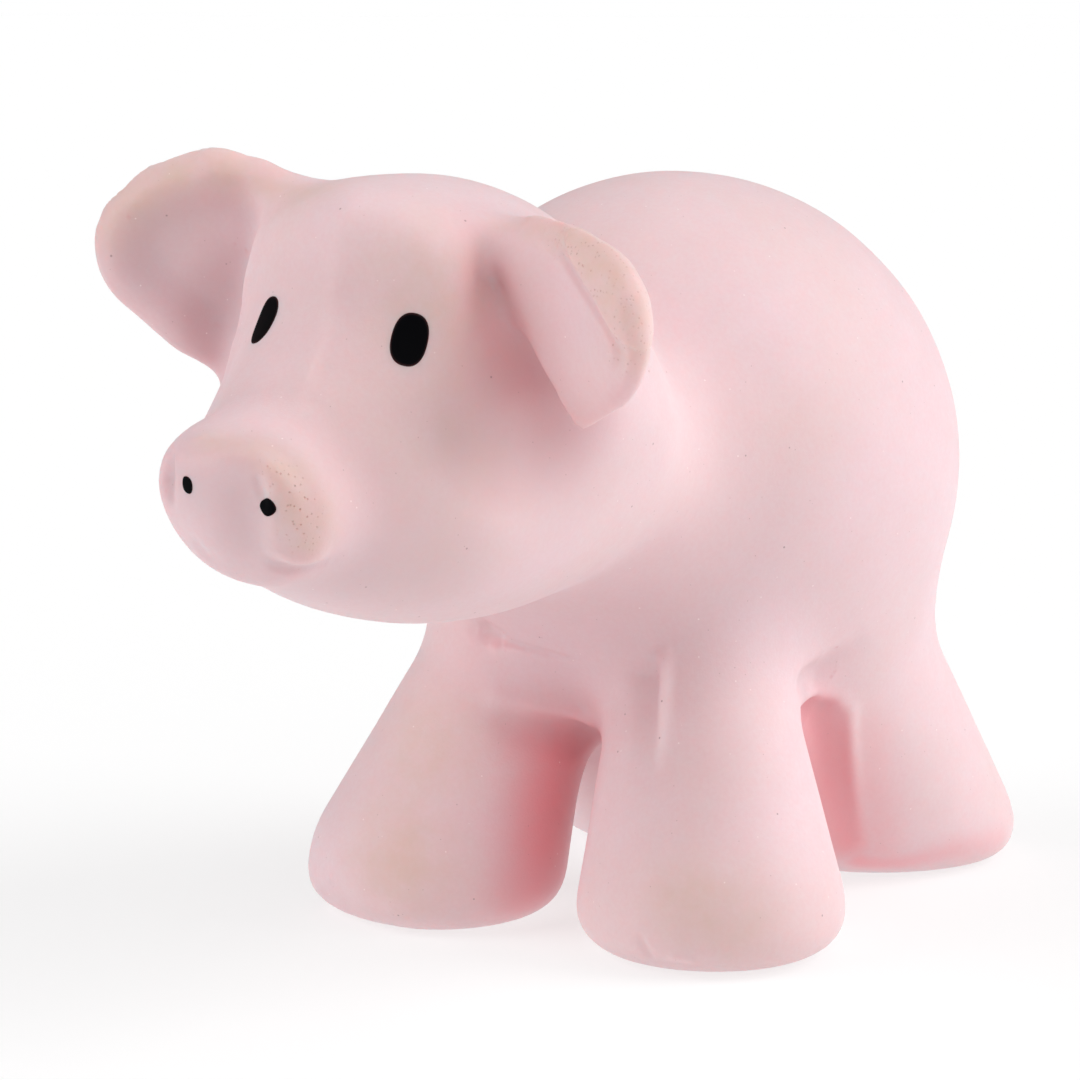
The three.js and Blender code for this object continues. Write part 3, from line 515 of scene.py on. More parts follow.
def tail_line():
    """Middle line of the tail: one turn that winds out of the rump."""
    shares = np.linspace(0, 1, TAIL_POINTS)
    angle = 2 * math.pi * TAIL_TURNS * shares
    radius = TAIL_CURL * np.minimum(1, 2 * shares)
    line = np.stack([radius * np.sin(angle), np.full(TAIL_POINTS, TORSO["size"][1]),
                     TAIL_HEIGHT - radius * np.cos(angle)], 1)
    # It starts behind the rump and comes down onto it in short steps
    for _ in range(40):
        line[:, 1] -= egg(line, **TORSO) * 0.8
    line[:, 1] += TAIL_LIFT * shares - TAIL_SINK * (1 - shares)
    return line


TAIL_LINE = tail_line()


def tail(points):
    """Distance to the tail, worked out only for the points near it."""
    field = np.full(len(points), FAR)
    near = np.linalg.norm(points - TAIL_LINE.mean(0), axis=1) < 4 * TAIL_CURL
    q = points[near]
    found = np.full(len(q), FAR)
    for start, end in zip(TAIL_LINE, TAIL_LINE[1:]):
        axis = end - start
        share = np.clip((q - start) @ axis / (axis @ axis), 0, 1)
        found = np.minimum(found, np.linalg.norm(q - start - np.outer(share, axis), axis=1))
    field[near] = found - TAIL_RADIUS
    return field


def mark_reach(points, mark):
    """Nearness of points to a mark's line, squared and in widths, and the mark's depth there."""
    mark = np.array(mark, float)
    nearest = np.full(len(points), np.inf)
    depth = np.zeros(len(points))
    for start, end in zip(mark, mark[1:]):
        axis = end[:3] - start[:3]
        share = np.clip((points - start[:3]) @ axis / (axis @ axis), 0, 1)
        width = start[4] + share * (end[4] - start[4])
        away = ((points - start[:3] - np.outer(share, axis)) ** 2).sum(1) / width ** 2
        closer = away < nearest
        nearest[closer] = away[closer]
        depth[closer] = (start[3] + share * (end[3] - start[3]))[closer]
    return nearest, depth


def beside(points, mark, widths=3):
    """Which points lie in the box round a mark."""
    mark = np.array(mark, float)
    margin = widths * mark[:, 4].max()
    return ((points > mark[:, :3].min(0) - margin) & (points < mark[:, :3].max(0) + margin)).all(1)


def marked(field, points, marks):
    """A field with marks pressed into it."""
    for mark in marks.values():
        near = beside(points, mark)
        if near.any():
            away, depth = mark_reach(points[near], mark)
            field[near] += depth * np.exp(-away)
    return field


def casting(points):
    """The whole outside of the pig."""
    field = egg(points, **TORSO)
    for side in (1, -1):
        mirror = np.array((side, 1, 1))
        field = joined(field, round_cone(points, FRONT_HIP * mirror, FRONT_FOOT * mirror, FRONT_RADII),
                       LEG_BLEND)
        field = joined(field, round_cone(points, REAR_HIP * mirror, REAR_FOOT * mirror, REAR_RADII),
                       LEG_BLEND)
    face, upright = head(points)
    field = joined(field, face, NECK_BLEND)
    field = common(field, -round_cone(points, HOLLOW_TOP, HOLLOW_BOTTOM, HOLLOW_RADII), HOLLOW_BLEND)
    for side in (1, -1):
        field = joined(field, ear(upright, side), EAR_ROOT_BLEND)
    field = joined(field, tail(points), TAIL_BLEND)
    return common(field, -points[:, 2], SOLE_BLEND)


def sculpted(points):
    """The casting with its marks and the slight swells of a skin finished by hand."""
    swells = WAVE_DEPTH * np.sin(points / WAVE_SIZES + WAVE_SHIFTS).prod(1)
    return marked(casting(points) - swells, points, MARKS)


def slope_of(field, points, step=0.02):
    """A field's slope at each point."""
    slope = np.empty_like(points)
    for axis in range(3):
        shift = np.zeros(3)
        shift[axis] = step
        slope[:, axis] = (field(points + shift) - field(points - shift)) / (2 * step)
    return slope


def settled(field, points, level=0.0, rounds=4):
    """Points pulled onto a field's skin, or to a level inside it."""
    for _ in range(rounds):
        slope = slope_of(field, points)
        pull = -(field(points) - level) / np.maximum((slope ** 2).sum(1), 0.05)
        points = points + slope * np.clip(pull, -SHAPING_REACH, SHAPING_REACH)[:, None]
    return points


# Meshes

def points_of(mesh):
    """A mesh's points in the pig's own millimetres."""
    flat = np.empty(len(mesh.vertices) * 3, np.float32)
    mesh.vertices.foreach_get("co", flat)
    return flat.reshape(-1, 3).astype(float) / MM - PLACE


def put_points(mesh, points):
    """Gives a mesh points from the pig's own millimetres."""
    mesh.vertices.foreach_set("co", ((points + PLACE) * MM).astype(np.float32).ravel())
    mesh.update()


def new_piece(name, source, shade):
    """An object from a bmesh or a mesh, smooth shaded, in its place and in its material."""
    if isinstance(source, bmesh.types.BMesh):
        mesh = bpy.data.meshes.new(name)
        source.to_mesh(mesh)
        source.free()
    else:
        mesh = source
        mesh.name = name
    mesh.polygons.foreach_set("use_smooth", [True] * len(mesh.polygons))
    mesh.materials.clear()
    mesh.materials.append(made_of(shade))
    piece = bpy.data.objects.new(name, mesh)
    bpy.context.scene.collection.objects.link(piece)
    return piece


def changed(mesh, kind, **settings):
    """A mesh after one modifier."""
    carrier = new_piece("carrier", mesh, natural_rubber)
    modifier = carrier.modifiers.new(kind.title(), kind)
    for name, value in settings.items():
        setattr(modifier, name, value)
    done = bpy.data.meshes.new_from_object(carrier.evaluated_get(bpy.context.evaluated_depsgraph_get()))
    bpy.data.objects.remove(carrier)
    return done


def moved(mesh, field):
    """Moves a mesh's points along their normals towards a field's skin."""
    normals = np.empty(len(mesh.vertices) * 3, np.float32)
    mesh.vertices.foreach_get("normal", normals)
    points = points_of(mesh)
    step = np.clip(field(points), -SHAPING_REACH, SHAPING_REACH)
    put_points(mesh, points - normals.reshape(-1, 3) * step[:, None])


def evened(mesh, field, rounds):
    """Spreads a mesh's points evenly over a field's skin."""
    edges = np.empty(len(mesh.edges) * 2, np.int64)
    mesh.edges.foreach_get("vertices", edges)
    first, second = edges.reshape(-1, 2).T
    points = points_of(mesh)
    count = np.bincount(first, minlength=len(points)) + np.bincount(second, minlength=len(points))
    for _ in range(rounds):
        middle = np.stack([np.bincount(first, points[second, axis], len(points))
                           + np.bincount(second, points[first, axis], len(points))
                           for axis in range(3)], 1) / np.maximum(count, 1)[:, None]
        points = settled(field, (points + middle) / 2, rounds=1)
    put_points(mesh, settled(field, points))


def refined(mesh, field):
    """Cuts a mesh finer at tight bends and along the marks, twice along the narrow ones, and settles it."""
    for widest in CUT_WIDTHS:
        points = points_of(mesh)
        near = np.zeros(len(points), bool)
        for mark in MARKS.values():
            if min(row[4] for row in mark) < widest:
                box = np.flatnonzero(beside(points, mark, CUT_REACH))
                near[box] |= mark_reach(points[box], mark)[0] < CUT_REACH ** 2
        cut = bmesh.new()
        cut.from_mesh(mesh)
        bmesh.ops.triangulate(cut, faces=cut.faces)
        cut.verts.ensure_lookup_table()
        edges = [e for e in cut.edges if near[e.verts[0].index] and near[e.verts[1].index]
                 or e.calc_face_angle(0) > TIGHT_BEND]
        bmesh.ops.subdivide_edges(cut, edges=edges, cuts=1)
        bmesh.ops.triangulate(cut, faces=cut.faces)
        cut.to_mesh(mesh)
        cut.free()
        evened(mesh, field, 2)


def casting_walls():
    """The outer skin of the casting's solid, closed over its pour hole, and the core that hollows it."""
    shell = bmesh.new()
    shell.from_mesh(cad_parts["rubber_body"].data)
    bmesh.ops.remove_doubles(shell, verts=shell.verts, dist=MERGED * MM)
    axis = np.array((PLUG_MIDDLE.x, PLUG_MIDDLE.y)) / MM
    for face in shell.faces[:]:
        middle = np.array(face.calc_center_median()) / MM
        close = np.linalg.norm(middle[:2] - axis) < HOLE_RADIUS + 2 * TOLERANCE
        if close and TOLERANCE < middle[2] < WALL - TOLERANCE:
            shell.faces.remove(face)
    shell.faces.index_update()
    seed = max(shell.faces, key=lambda face: face.calc_center_median().z)
    outside, front = {seed}, [seed]
    while front:
        around = {face for edge in front.pop().edges for face in edge.link_faces} - outside
        outside |= around
        front.extend(around)
    numbers = {face.index for face in outside}
    core = shell.copy()
    for wall, gone in ((shell, [f for f in shell.faces if f.index not in numbers]),
                       (core, [f for f in core.faces if f.index in numbers])):
        bmesh.ops.delete(wall, geom=gone, context="FACES")
        bmesh.ops.delete(wall, geom=[v for v in wall.verts if not v.link_faces], context="VERTS")
    rim = [e for e in core.edges if e.is_boundary]
    sunk = bmesh.ops.extrude_edge_only(core, edges=rim)["geom"]
    for vert in (v for v in sunk if isinstance(v, bmesh.types.BMVert)):
        vert.co.z = -MM
    for wall in (shell, core):
        bmesh.ops.holes_fill(wall, edges=[e for e in wall.edges if e.is_boundary])
        bmesh.ops.triangulate(wall, faces=wall.faces)
    bmesh.ops.recalc_face_normals(core, faces=core.faces)
    return shell, core


def tint(mesh, name, values):
    """Stores a value for each point of a mesh, for its material."""
    attribute = mesh.attributes.new(name, "FLOAT", "POINT")
    attribute.data.foreach_set("value", values.astype(np.float32))


def tinted(mesh, field):
    """Stores each tint's strength, painted shade and a painted highlight among them, and how much shelter the
    rubber has at each point, which sets the painted shade of its hollows.
    """
    points = points_of(mesh)
    for name, places in TINTS.items():
        share = np.zeros(len(points))
        for mark in places:
            box = np.flatnonzero(beside(points, mark))
            away, strength = mark_reach(points[box], mark)
            share[box] = np.maximum(share[box], strength * np.exp(-away))
        tint(mesh, name, share)
    slope = slope_of(field, points)
    outward = slope / np.maximum(np.linalg.norm(slope, axis=1), 1e-6)[:, None]
    shelter = sum(share * np.clip(1 - field(points + outward * reach) / reach, 0, 1)
                  for reach, share in SHELTER_REACHES)
    tint(mesh, "shelter", shelter)


def spun(profile, segments=96, rounding=0.15):
    """A closed turned body about Z from (radius, height) pairs in millimetres, its corners rounded."""
    body = bmesh.new()
    corners = [body.verts.new((radius * MM, 0, height * MM)) for radius, height in profile]
    line = [body.edges.new(pair) for pair in zip(corners, corners[1:])]
    bmesh.ops.spin(body, geom=corners + line, cent=(0, 0, 0), axis=(0, 0, 1), angle=2 * math.pi,
                   steps=segments, use_merge=True)
    bmesh.ops.remove_doubles(body, verts=body.verts, dist=MERGED * MM)
    bmesh.ops.recalc_face_normals(body, faces=body.faces)
    sharp = [e for e in body.edges if e.calc_face_angle(0) > math.radians(30)]
    bmesh.ops.bevel(body, geom=sharp, offset=rounding * MM, segments=3, affect="EDGES", profile=0.5,
                    material=-1)
    return body


def arc(radius, middle, start, end, steps=20):
    """Points (radius, height) of a round end about a middle on the axis, between two angles."""
    turns = np.radians(np.linspace(start, end, steps + 1))
    return [(0 if abs(math.cos(t)) < 1e-6 else radius * math.cos(t), middle + radius * math.sin(t))
            for t in turns]


def painted_spot(name, spot, field):
    """A thin closed film of paint that follows the skin."""
    middle = from_head(np.array([(spot["out"], SPOT_SEARCH_START, spot["height"])]))
    inward = from_head(HEAD_PIVOT + (0, 1, 0)) - HEAD_PIVOT
    for _ in range(SPOT_SEARCH_ROUNDS):
        middle = middle + inward * field(middle)[:, None]
    normal = slope_of(field, middle)[0]
    normal /= np.linalg.norm(normal)
    across = np.cross(from_head(HEAD_PIVOT + (0, 0, 1)) - HEAD_PIVOT, normal)
    across /= np.linalg.norm(across)
    up = np.cross(normal, across)
    film = bmesh.new()
    bmesh.ops.create_uvsphere(film, u_segments=96, v_segments=24, radius=1)
    piece = new_piece(name, film, latex_paint)
    ball = np.empty(len(piece.data.vertices) * 3, np.float32)
    piece.data.vertices.foreach_get("co", ball)
    x, y, z = ball.reshape(-1, 3).astype(float).T
    lean = math.radians(spot["lean"])
    width, tall = spot["size"]
    # A brush leaves an oval that is a little squarer than an ellipse, whose squareness is 2
    squared = (np.abs(x) ** SPOT_SQUARENESS + np.abs(y) ** SPOT_SQUARENESS) ** (1 / SPOT_SQUARENESS)
    edge = np.hypot(x, y)
    x, y = (side * (edge / np.maximum(squared, 1e-6)) for side in (x, y))
    flat = np.outer(x * width / 2, across * math.cos(lean) + up * math.sin(lean))
    flat += np.outer(y * tall / 2, up * math.cos(lean) - across * math.sin(lean))
    film_thickness = bpy.context.scene.pig_face.film / MM
    level = np.where(z > 0, film_thickness, FILM_ROOT) * np.sign(z) * np.sqrt(np.abs(z))
    points = middle + flat
    for _ in range(FILM_ROUNDS):
        points = points + np.outer(level - field(points), normal)
    put_points(piece.data, points)
    tint(piece.data, "edge", edge)
    return piece


# Materials

def add(tree, kind, inputs=None, **settings):
    """A node with its settings, and its inputs as links, values or, for colours, hex codes."""
    node = tree.nodes.new(kind)
    for name, value in settings.items():
        setattr(node, name, value)
    for socket, value in (inputs or {}).items():
        if isinstance(value, bpy.types.NodeSocket):
            tree.links.new(value, node.inputs[socket])
        else:
            node.inputs[socket].default_value = (*linear(value), 1) if isinstance(value, str) else value
    return node


def clouds(tree, place, size, low, high, to_low, to_high, **inputs):
    """Clouds of that size in millimetres: noise from low to high becomes a share from to_low to to_high."""
    noise = add(tree, "ShaderNodeTexNoise", {"Vector": place, "Scale": 1 / (size * MM), "Detail": 3,
                                             **inputs})
    return add(tree, "ShaderNodeMapRange", {
        "Value": noise.outputs["Fac"], "From Min": low, "From Max": high, "To Min": to_low,
        "To Max": to_high}).outputs["Result"]


def dots(tree, place, spacing, radius, share):
    """A share of the cells of that spacing, in millimetres, holds a round dot; 1 inside it."""
    cells = add(tree, "ShaderNodeTexVoronoi", {"Vector": place, "Scale": 1 / (spacing * MM)})
    lot = add(tree, "ShaderNodeSeparateColor", {"Color": cells.outputs["Color"]})
    chosen = add(tree, "ShaderNodeMath", {0: lot.outputs["Red"], 1: share}, operation="LESS_THAN")
    dot = add(tree, "ShaderNodeMapRange", {
        "Value": cells.outputs["Distance"], "From Min": radius / spacing,
        "From Max": 0.5 * radius / spacing}, interpolation_type="SMOOTHSTEP")
    return add(tree, "ShaderNodeMath", {0: chosen.outputs[0], 1: dot.outputs["Result"]},
               operation="MULTIPLY").outputs[0]


def layered(tree, colour, layers):
    """A colour under layers of others: where each one lies, how strong it is there, and its colour."""
    for cover, strength, tone in layers:
        share = add(tree, "ShaderNodeMath", {0: cover, 1: strength}, operation="MULTIPLY")
        colour = add(tree, "ShaderNodeMix", {"Factor": share.outputs[0], "A": colour, "B": tone},
                     data_type="RGBA").outputs["Result"]
    return colour


def made_of(shade):
    """The material whose shader takes the inputs that a shade function gives, made once."""
    name = shade.__name__
    if name in bpy.data.materials:
        return bpy.data.materials[name]
    material = bpy.data.materials.new(name)
    material.use_nodes = True
    tree = material.node_tree
    tree.nodes.clear()
    shader = add(tree, "ShaderNodeBsdfPrincipled", shade(tree))
    add(tree, "ShaderNodeOutputMaterial", {"Surface": shader.outputs["BSDF"]})
    return material


def natural_rubber(tree):
    """Natural rubber latex, cast in a plaster mould and cured: matt and powdery, light sinks into it."""
    settings = bpy.context.scene.pig_rubber
    pink, ripe_and_shade_tone, flush, glow = ((*getattr(settings, name), 1) for name in ("pink", "ripe_and_shade", "flush", "glow"))
    place = add(tree, "ShaderNodeTexCoord").outputs["Object"]
    shelter, ripe_and_shade, painted_red_shade, painted_face_shade, painted_highlight, pitted = (
        add(tree, "ShaderNodeAttribute", attribute_name=name).outputs["Fac"]
        for name in ("shelter", "ripe_and_shade", "painted_red_shade", "painted_face_shade", "painted_highlight", "pitted"))
    # How much of the flush the hollows take as painted shade
    painted_hollow_shade = add(tree, "ShaderNodeMapRange", {"Value": shelter, "From Min": 0.12, "From Max": 0.85,
                                                 "To Max": 0.6})
    # Burst bubbles where the mould's skin stuck: pits of 0.2 mm, 0.06 mm deep
    pits = add(tree, "ShaderNodeMath", {0: dots(tree, place, 0.36, 0.11, 0.6), 1: pitted},
               operation="MULTIPLY").outputs[0]
    layers = [
        # Pigment stirred in by hand: clouds of 18 mm, mottling of 3 mm and grain of 0.4 mm
        (clouds(tree, place, 18, 0.35, 0.7, 0, 0.25), 1, ripe_and_shade_tone),
        (clouds(tree, place, 3, 0.3, 0.75, 0, 0.08), 1, flush),
        (clouds(tree, place, 0.4, 0.3, 0.7, 0, 0.1, Detail=2), 1, flush),
        # Painted shade: hollows are a deeper pink the more shelter they have, and painted shade glows red
        # between the legs and under the ear
        (painted_hollow_shade.outputs["Result"], 1, flush),
        (painted_red_shade, 0.75, glow),
        # Painted shade darkens the snout, the jaw and the cheek, the far nostril's dimple and the far ear's
        # hollow
        (painted_face_shade, 0.8, "#CEB0B4"),
        # Rims and bumps that air and hands have yellowed, in patches of 2.5 mm; under the left ear's top rim
        # the same tan is painted shade
        (ripe_and_shade, clouds(tree, place, 2.5, 0.3, 0.7, 0.35, 1, Detail=4, Roughness=0.6), ripe_and_shade_tone),
        # A painted highlight along the crest of the left front leg's ridge
        (painted_highlight, 0.85, "#FFF0F2"),
    ]
    # Dust and undissolved pigment: dots of 0.1 to 0.2 mm, drawn a little coarser than they are
    for spacing, radius, share, strength, tone in ((2.1, 0.13, 0.35, 0.55, "#8A6464"),
                                                   (0.9, 0.07, 0.35, 0.45, "#A07C7A"),
                                                   (1.4, 0.1, 0.3, 0.5, "#FFF2F0")):
        shift = (50 * spacing * MM, 20 * spacing * MM, 0)
        shifted = add(tree, "ShaderNodeVectorMath", {0: place, 1: shift})
        layers.append((dots(tree, shifted.outputs[0], spacing, radius, share), strength, tone))
    # Painted shade: the pits are a little darker inside
    layers.append((pits, 0.6, "#BC8F84"))
    # The plaster's grain, 0.2 mm, lies under the pits
    plaster = add(tree, "ShaderNodeTexNoise", {"Vector": place, "Scale": 1 / (0.2 * MM), "Detail": 2})
    grain = add(tree, "ShaderNodeBump", {"Height": plaster.outputs["Fac"], "Distance": 0.012 * MM})
    normal = add(tree, "ShaderNodeBump", {"Height": pits, "Distance": 0.06 * MM,
                                          "Normal": grain.outputs["Normal"]}, invert=True)
    return {"Base Color": layered(tree, pink, layers),
            "Roughness": clouds(tree, place, 1.2, 0.3, 0.7, 0.55, 0.68, Detail=4), "IOR": 1.52,
            "Specular IOR Level": 0.35, "Subsurface Weight": 0.6, "Subsurface Radius": (1.0, 0.32, 0.28),
            "Subsurface Scale": 0.0022, "Sheen Weight": 0.06, "Sheen Roughness": 0.5,
            "Normal": normal.outputs["Normal"]}


def latex_paint(tree):
    """Black latex paint, brushed on: a smooth film, thin and brown at its edge, with dust in it."""
    place = add(tree, "ShaderNodeTexCoord").outputs["Object"]
    edge = add(tree, "ShaderNodeAttribute", attribute_name="edge").outputs["Fac"]
    thin = add(tree, "ShaderNodeMapRange", {"Value": edge, "From Min": 0.9, "From Max": 1, "To Max": 0.6})
    colour = layered(tree, (*bpy.context.scene.pig_face.black, 1), (
        (thin.outputs["Result"], 1, "#4A2E2E"),
        (dots(tree, place, 0.9, 0.07, 0.2), 0.25, "#7A7A80")))
    # Brush marks, 0.8 mm apart
    ripple = add(tree, "ShaderNodeTexNoise", {"Vector": place, "Scale": 1 / (0.8 * MM), "Detail": 2})
    normal = add(tree, "ShaderNodeBump", {"Height": ripple.outputs["Fac"], "Distance": 0.01 * MM})
    return {"Base Color": colour, "Roughness": 0.6, "IOR": 1.48, "Specular IOR Level": 0.03,
            "Normal": normal.outputs["Normal"]}


def frosted_glass(tree):
    """The top of a light table, sand-blasted glass lit from below: an even white glow without a gleam."""
    settings = bpy.context.scene.pig_stage
    return {"Base Color": (*settings.floor, 1), "Roughness": 0.9, "Specular IOR Level": 0,
            "Emission Color": (1, 1, 1, 1), "Emission Strength": settings.glow}


def pressed_rubber(tree):
    """Harder natural rubber, pressed in a steel mould: matt, dusted with talc, with a press's fine grain."""
    place = add(tree, "ShaderNodeTexCoord").outputs["Object"]
    colour = layered(tree, "#DDB0B5", (
        # Talc in clouds of 2.5 mm
        (clouds(tree, place, 2.5, 0.5, 0.75, 0, 0.35), 1, "#F1E4E3"),
        # Specks of undissolved pigment, 0.1 mm
        (dots(tree, place, 1, 0.1, 0.3), 0.5, "#9A6C6E")))
    # Turning marks of the mould round the bung's axis, drawn as coarse as 0.942 mm apart. The texture has
    # 20 / (2 pi) rings in a unit of its scale.
    offset = add(tree, "ShaderNodeVectorMath", {0: place, 1: PLUG_MIDDLE}, operation="SUBTRACT")
    rings = add(tree, "ShaderNodeTexWave", {
        "Vector": offset.outputs[0], "Scale": 2 * math.pi / 20 / (0.942 * MM), "Distortion": 0.3},
        wave_type="RINGS", rings_direction="Z")
    normal = add(tree, "ShaderNodeBump", {"Height": rings.outputs["Fac"], "Distance": 0.01 * MM})
    return {"Base Color": colour, "Roughness": 0.7, "IOR": 1.52, "Specular IOR Level": 0.35,
            "Subsurface Weight": 0.4, "Subsurface Radius": (1.0, 0.35, 0.3), "Subsurface Scale": 0.0015,
            "Normal": normal.outputs["Normal"]}


def polyethylene(tree):
    """Natural polyethylene, injection moulded: milky and waxy, with flow lines and a gate at each end."""
    place = add(tree, "ShaderNodeTexCoord").outputs["Object"]
    local = add(tree, "ShaderNodeVectorMath", {0: place, 1: CAPSULE_MIDDLE}, operation="SUBTRACT").outputs[0]
    # Flow lines: clouds of 1 mm stretched six times along the capsule
    stretched = add(tree, "ShaderNodeVectorMath", {0: local, 1: (1, 1 / 6, 1)}, operation="MULTIPLY")
    flow = add(tree, "ShaderNodeTexNoise", {"Vector": stretched.outputs[0], "Scale": 1 / MM, "Detail": 3})
    streaks = add(tree, "ShaderNodeMapRange", {"Value": flow.outputs["Fac"], "From Min": 0.35,
                                               "From Max": 0.7})
    # The gate: a rough, cut-off spot 1.2 mm across on the axis at both ends
    axes = add(tree, "ShaderNodeSeparateXYZ", {0: local})
    across = add(tree, "ShaderNodeCombineXYZ", {"X": axes.outputs["X"], "Z": axes.outputs["Z"]})
    away = add(tree, "ShaderNodeVectorMath", {0: across.outputs[0]}, operation="LENGTH")
    gate = add(tree, "ShaderNodeMapRange", {"Value": away.outputs["Value"], "From Min": 0.7 * MM,
                                            "From Max": 0.5 * MM})
    rough = add(tree, "ShaderNodeTexNoise", {"Vector": place, "Scale": 1 / (0.3 * MM), "Detail": 4})
    torn = add(tree, "ShaderNodeMath", {0: gate.outputs["Result"], 1: rough.outputs["Fac"]},
               operation="MULTIPLY")
    waves = add(tree, "ShaderNodeBump", {"Height": flow.outputs["Fac"], "Distance": 0.02 * MM})
    normal = add(tree, "ShaderNodeBump", {"Height": torn.outputs[0], "Distance": 0.2 * MM,
                                          "Normal": waves.outputs["Normal"]})
    return {"Base Color": layered(tree, "#EFEDE6", [(streaks.outputs["Result"], 1, "#DEDBD1")]),
            "Roughness": 0.38, "IOR": 1.53, "Subsurface Weight": 0.5, "Subsurface Radius": (1.0, 0.9, 0.8),
            "Subsurface Scale": 0.002, "Normal": normal.outputs["Normal"]}


def polypropylene(tree):
    """Polypropylene, injection moulded and tumbled: glossy, with a parting line and scuffs from rattling."""
    place = add(tree, "ShaderNodeTexCoord").outputs["Object"]
    # Scuffs, 0.3 mm wide, on a third of the bead
    worn = clouds(tree, place, 0.3, 0.55, 0.65, 0, 1, Detail=5, Roughness=0.7, Distortion=1.5)
    # The mould's parting line stands up round the middle
    height = add(tree, "ShaderNodeAttribute", attribute_name="parting").outputs["Fac"]
    line = add(tree, "ShaderNodeMapRange", {"Value": height, "From Min": 0.05, "From Max": 0},
               interpolation_type="SMOOTHSTEP")
    dents = add(tree, "ShaderNodeBump", {"Height": worn, "Distance": 0.01 * MM}, invert=True)
    normal = add(tree, "ShaderNodeBump", {"Height": line.outputs["Result"], "Distance": 0.05 * MM,
                                          "Normal": dents.outputs["Normal"]})
    rough = add(tree, "ShaderNodeMapRange", {"Value": worn, "To Min": 0.22, "To Max": 0.5})
    return {"Base Color": layered(tree, "#D9D4C6", [(worn, 1, "#EDEAE2")]),
            "Roughness": rough.outputs["Result"], "IOR": 1.49, "Normal": normal.outputs["Normal"]}


# Pieces

class PIG_OT_rubber_skin(bpy.types.Operator):
    """Cast the pig's rubber skin over the frame's hollow casting"""
    bl_idname = "pig.rubber_skin"
    bl_label = "Rubber skin"

    def execute(self, context):
        spacing = context.scene.pig_rubber.spacing
        shell, core = casting_walls()
        mesh = bpy.data.meshes.new("rubber_skin")
        shell.to_mesh(mesh)
        shell.free()
        for _ in range(SHAPING_ROUNDS):
            mesh = changed(mesh, "REMESH", mode="VOXEL", voxel_size=SHAPING_COARSENESS * spacing)
            moved(mesh, sculpted)
        mesh = changed(mesh, "REMESH", mode="VOXEL", voxel_size=spacing)
        evened(mesh, sculpted, 4)
        refined(mesh, sculpted)
        hollow = new_piece("core", core, natural_rubber)
        points = points_of(hollow.data)
        high = points[:, 2] > WALL + 1
        points[high] = settled(sculpted, points[high], level=-WALL, rounds=8)
        put_points(hollow.data, points)
        mesh = changed(mesh, "BOOLEAN", object=hollow, operation="DIFFERENCE", solver="MANIFOLD")
        bpy.data.objects.remove(hollow)
        tinted(mesh, sculpted)
        skin = new_piece("rubber_skin", mesh, natural_rubber)
        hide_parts("rubber_body")
        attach(skin, "pig")
        return {"FINISHED"}


class PIG_OT_painted_face(bpy.types.Operator):
    """Paint the eyes and nostrils as thin films on the rubber"""
    bl_idname = "pig.painted_face"
    bl_label = "Painted face"

    def execute(self, context):
        for node, spot in SPOTS.items():
            film = painted_spot(f"painted_{node}", spot, sculpted)
            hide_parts(node)
            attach(film, "pig")
        return {"FINISHED"}


class PIG_OT_bung(bpy.types.Operator):
    """Press the bung into the pour hole"""
    bl_idname = "pig.bung"
    bl_label = "Bung"

    def execute(self, context):
        shank = HOLE_RADIUS - PLUG_GAP / 3
        lip = WALL + PLUG_GAP
        top = lip + PLUG_LIP_THICKNESS
        dish, rim = (shank - inset for inset in PLUG_DISH_INSETS)
        body = spun([(0, PLUG_DISH_DEPTH), (dish, PLUG_DISH_DEPTH), (rim, 0), (shank, 0), (shank, lip),
                     (PLUG_LIP_RADIUS, lip), (HOLE_RADIUS - PLUG_GAP, top), (0, top)], rounding=0.2)
        bmesh.ops.translate(body, verts=body.verts, vec=(PLUG_MIDDLE.x, PLUG_MIDDLE.y, 0))
        bung = new_piece("bung", body, pressed_rubber)
        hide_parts("pour_plug")
        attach(bung, "pig")
        return {"FINISHED"}


class PIG_OT_rattle_capsule(bpy.types.Operator):
    """Snap the two halves of the rattle capsule together"""
    bl_idname = "pig.rattle_capsule"
    bl_label = "Rattle capsule"

    def execute(self, context):
        dome = CAPSULE_LENGTH / 2 - CAPSULE_RADIUS
        inner = CAPSULE_RADIUS - CAPSULE_WALL
        spigot = inner - CAPSULE_GAP
        bore = spigot - SPIGOT_WALL
        seam = CAPSULE_SEAM + CAPSULE_GAP
        cup = arc(CAPSULE_RADIUS, -dome, -90, 0) + [
            (CAPSULE_RADIUS, CAPSULE_SEAM), (inner, CAPSULE_SEAM)] + arc(inner, -dome, 0, -90)
        cap = arc(CAPSULE_RADIUS, dome, 90, 0) + [
            (CAPSULE_RADIUS, seam), (spigot, seam), (spigot, seam - CAPSULE_GAP - SPIGOT_LENGTH),
            (bore, seam - CAPSULE_GAP - SPIGOT_LENGTH)] + arc(bore, dome, 0, 90)
        for node, profile in (("rattle_cup", cup), ("rattle_cap", cap)):
            body = spun(profile)
            bmesh.ops.rotate(body, verts=body.verts, cent=(0, 0, 0),
                             matrix=Matrix.Rotation(-math.pi / 2, 3, "X"))
            bmesh.ops.translate(body, verts=body.verts, vec=CAPSULE_MIDDLE)
            half = new_piece(node.replace("rattle", "capsule"), body, polyethylene)
            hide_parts(node)
            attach(half, "capsule")
        return {"FINISHED"}


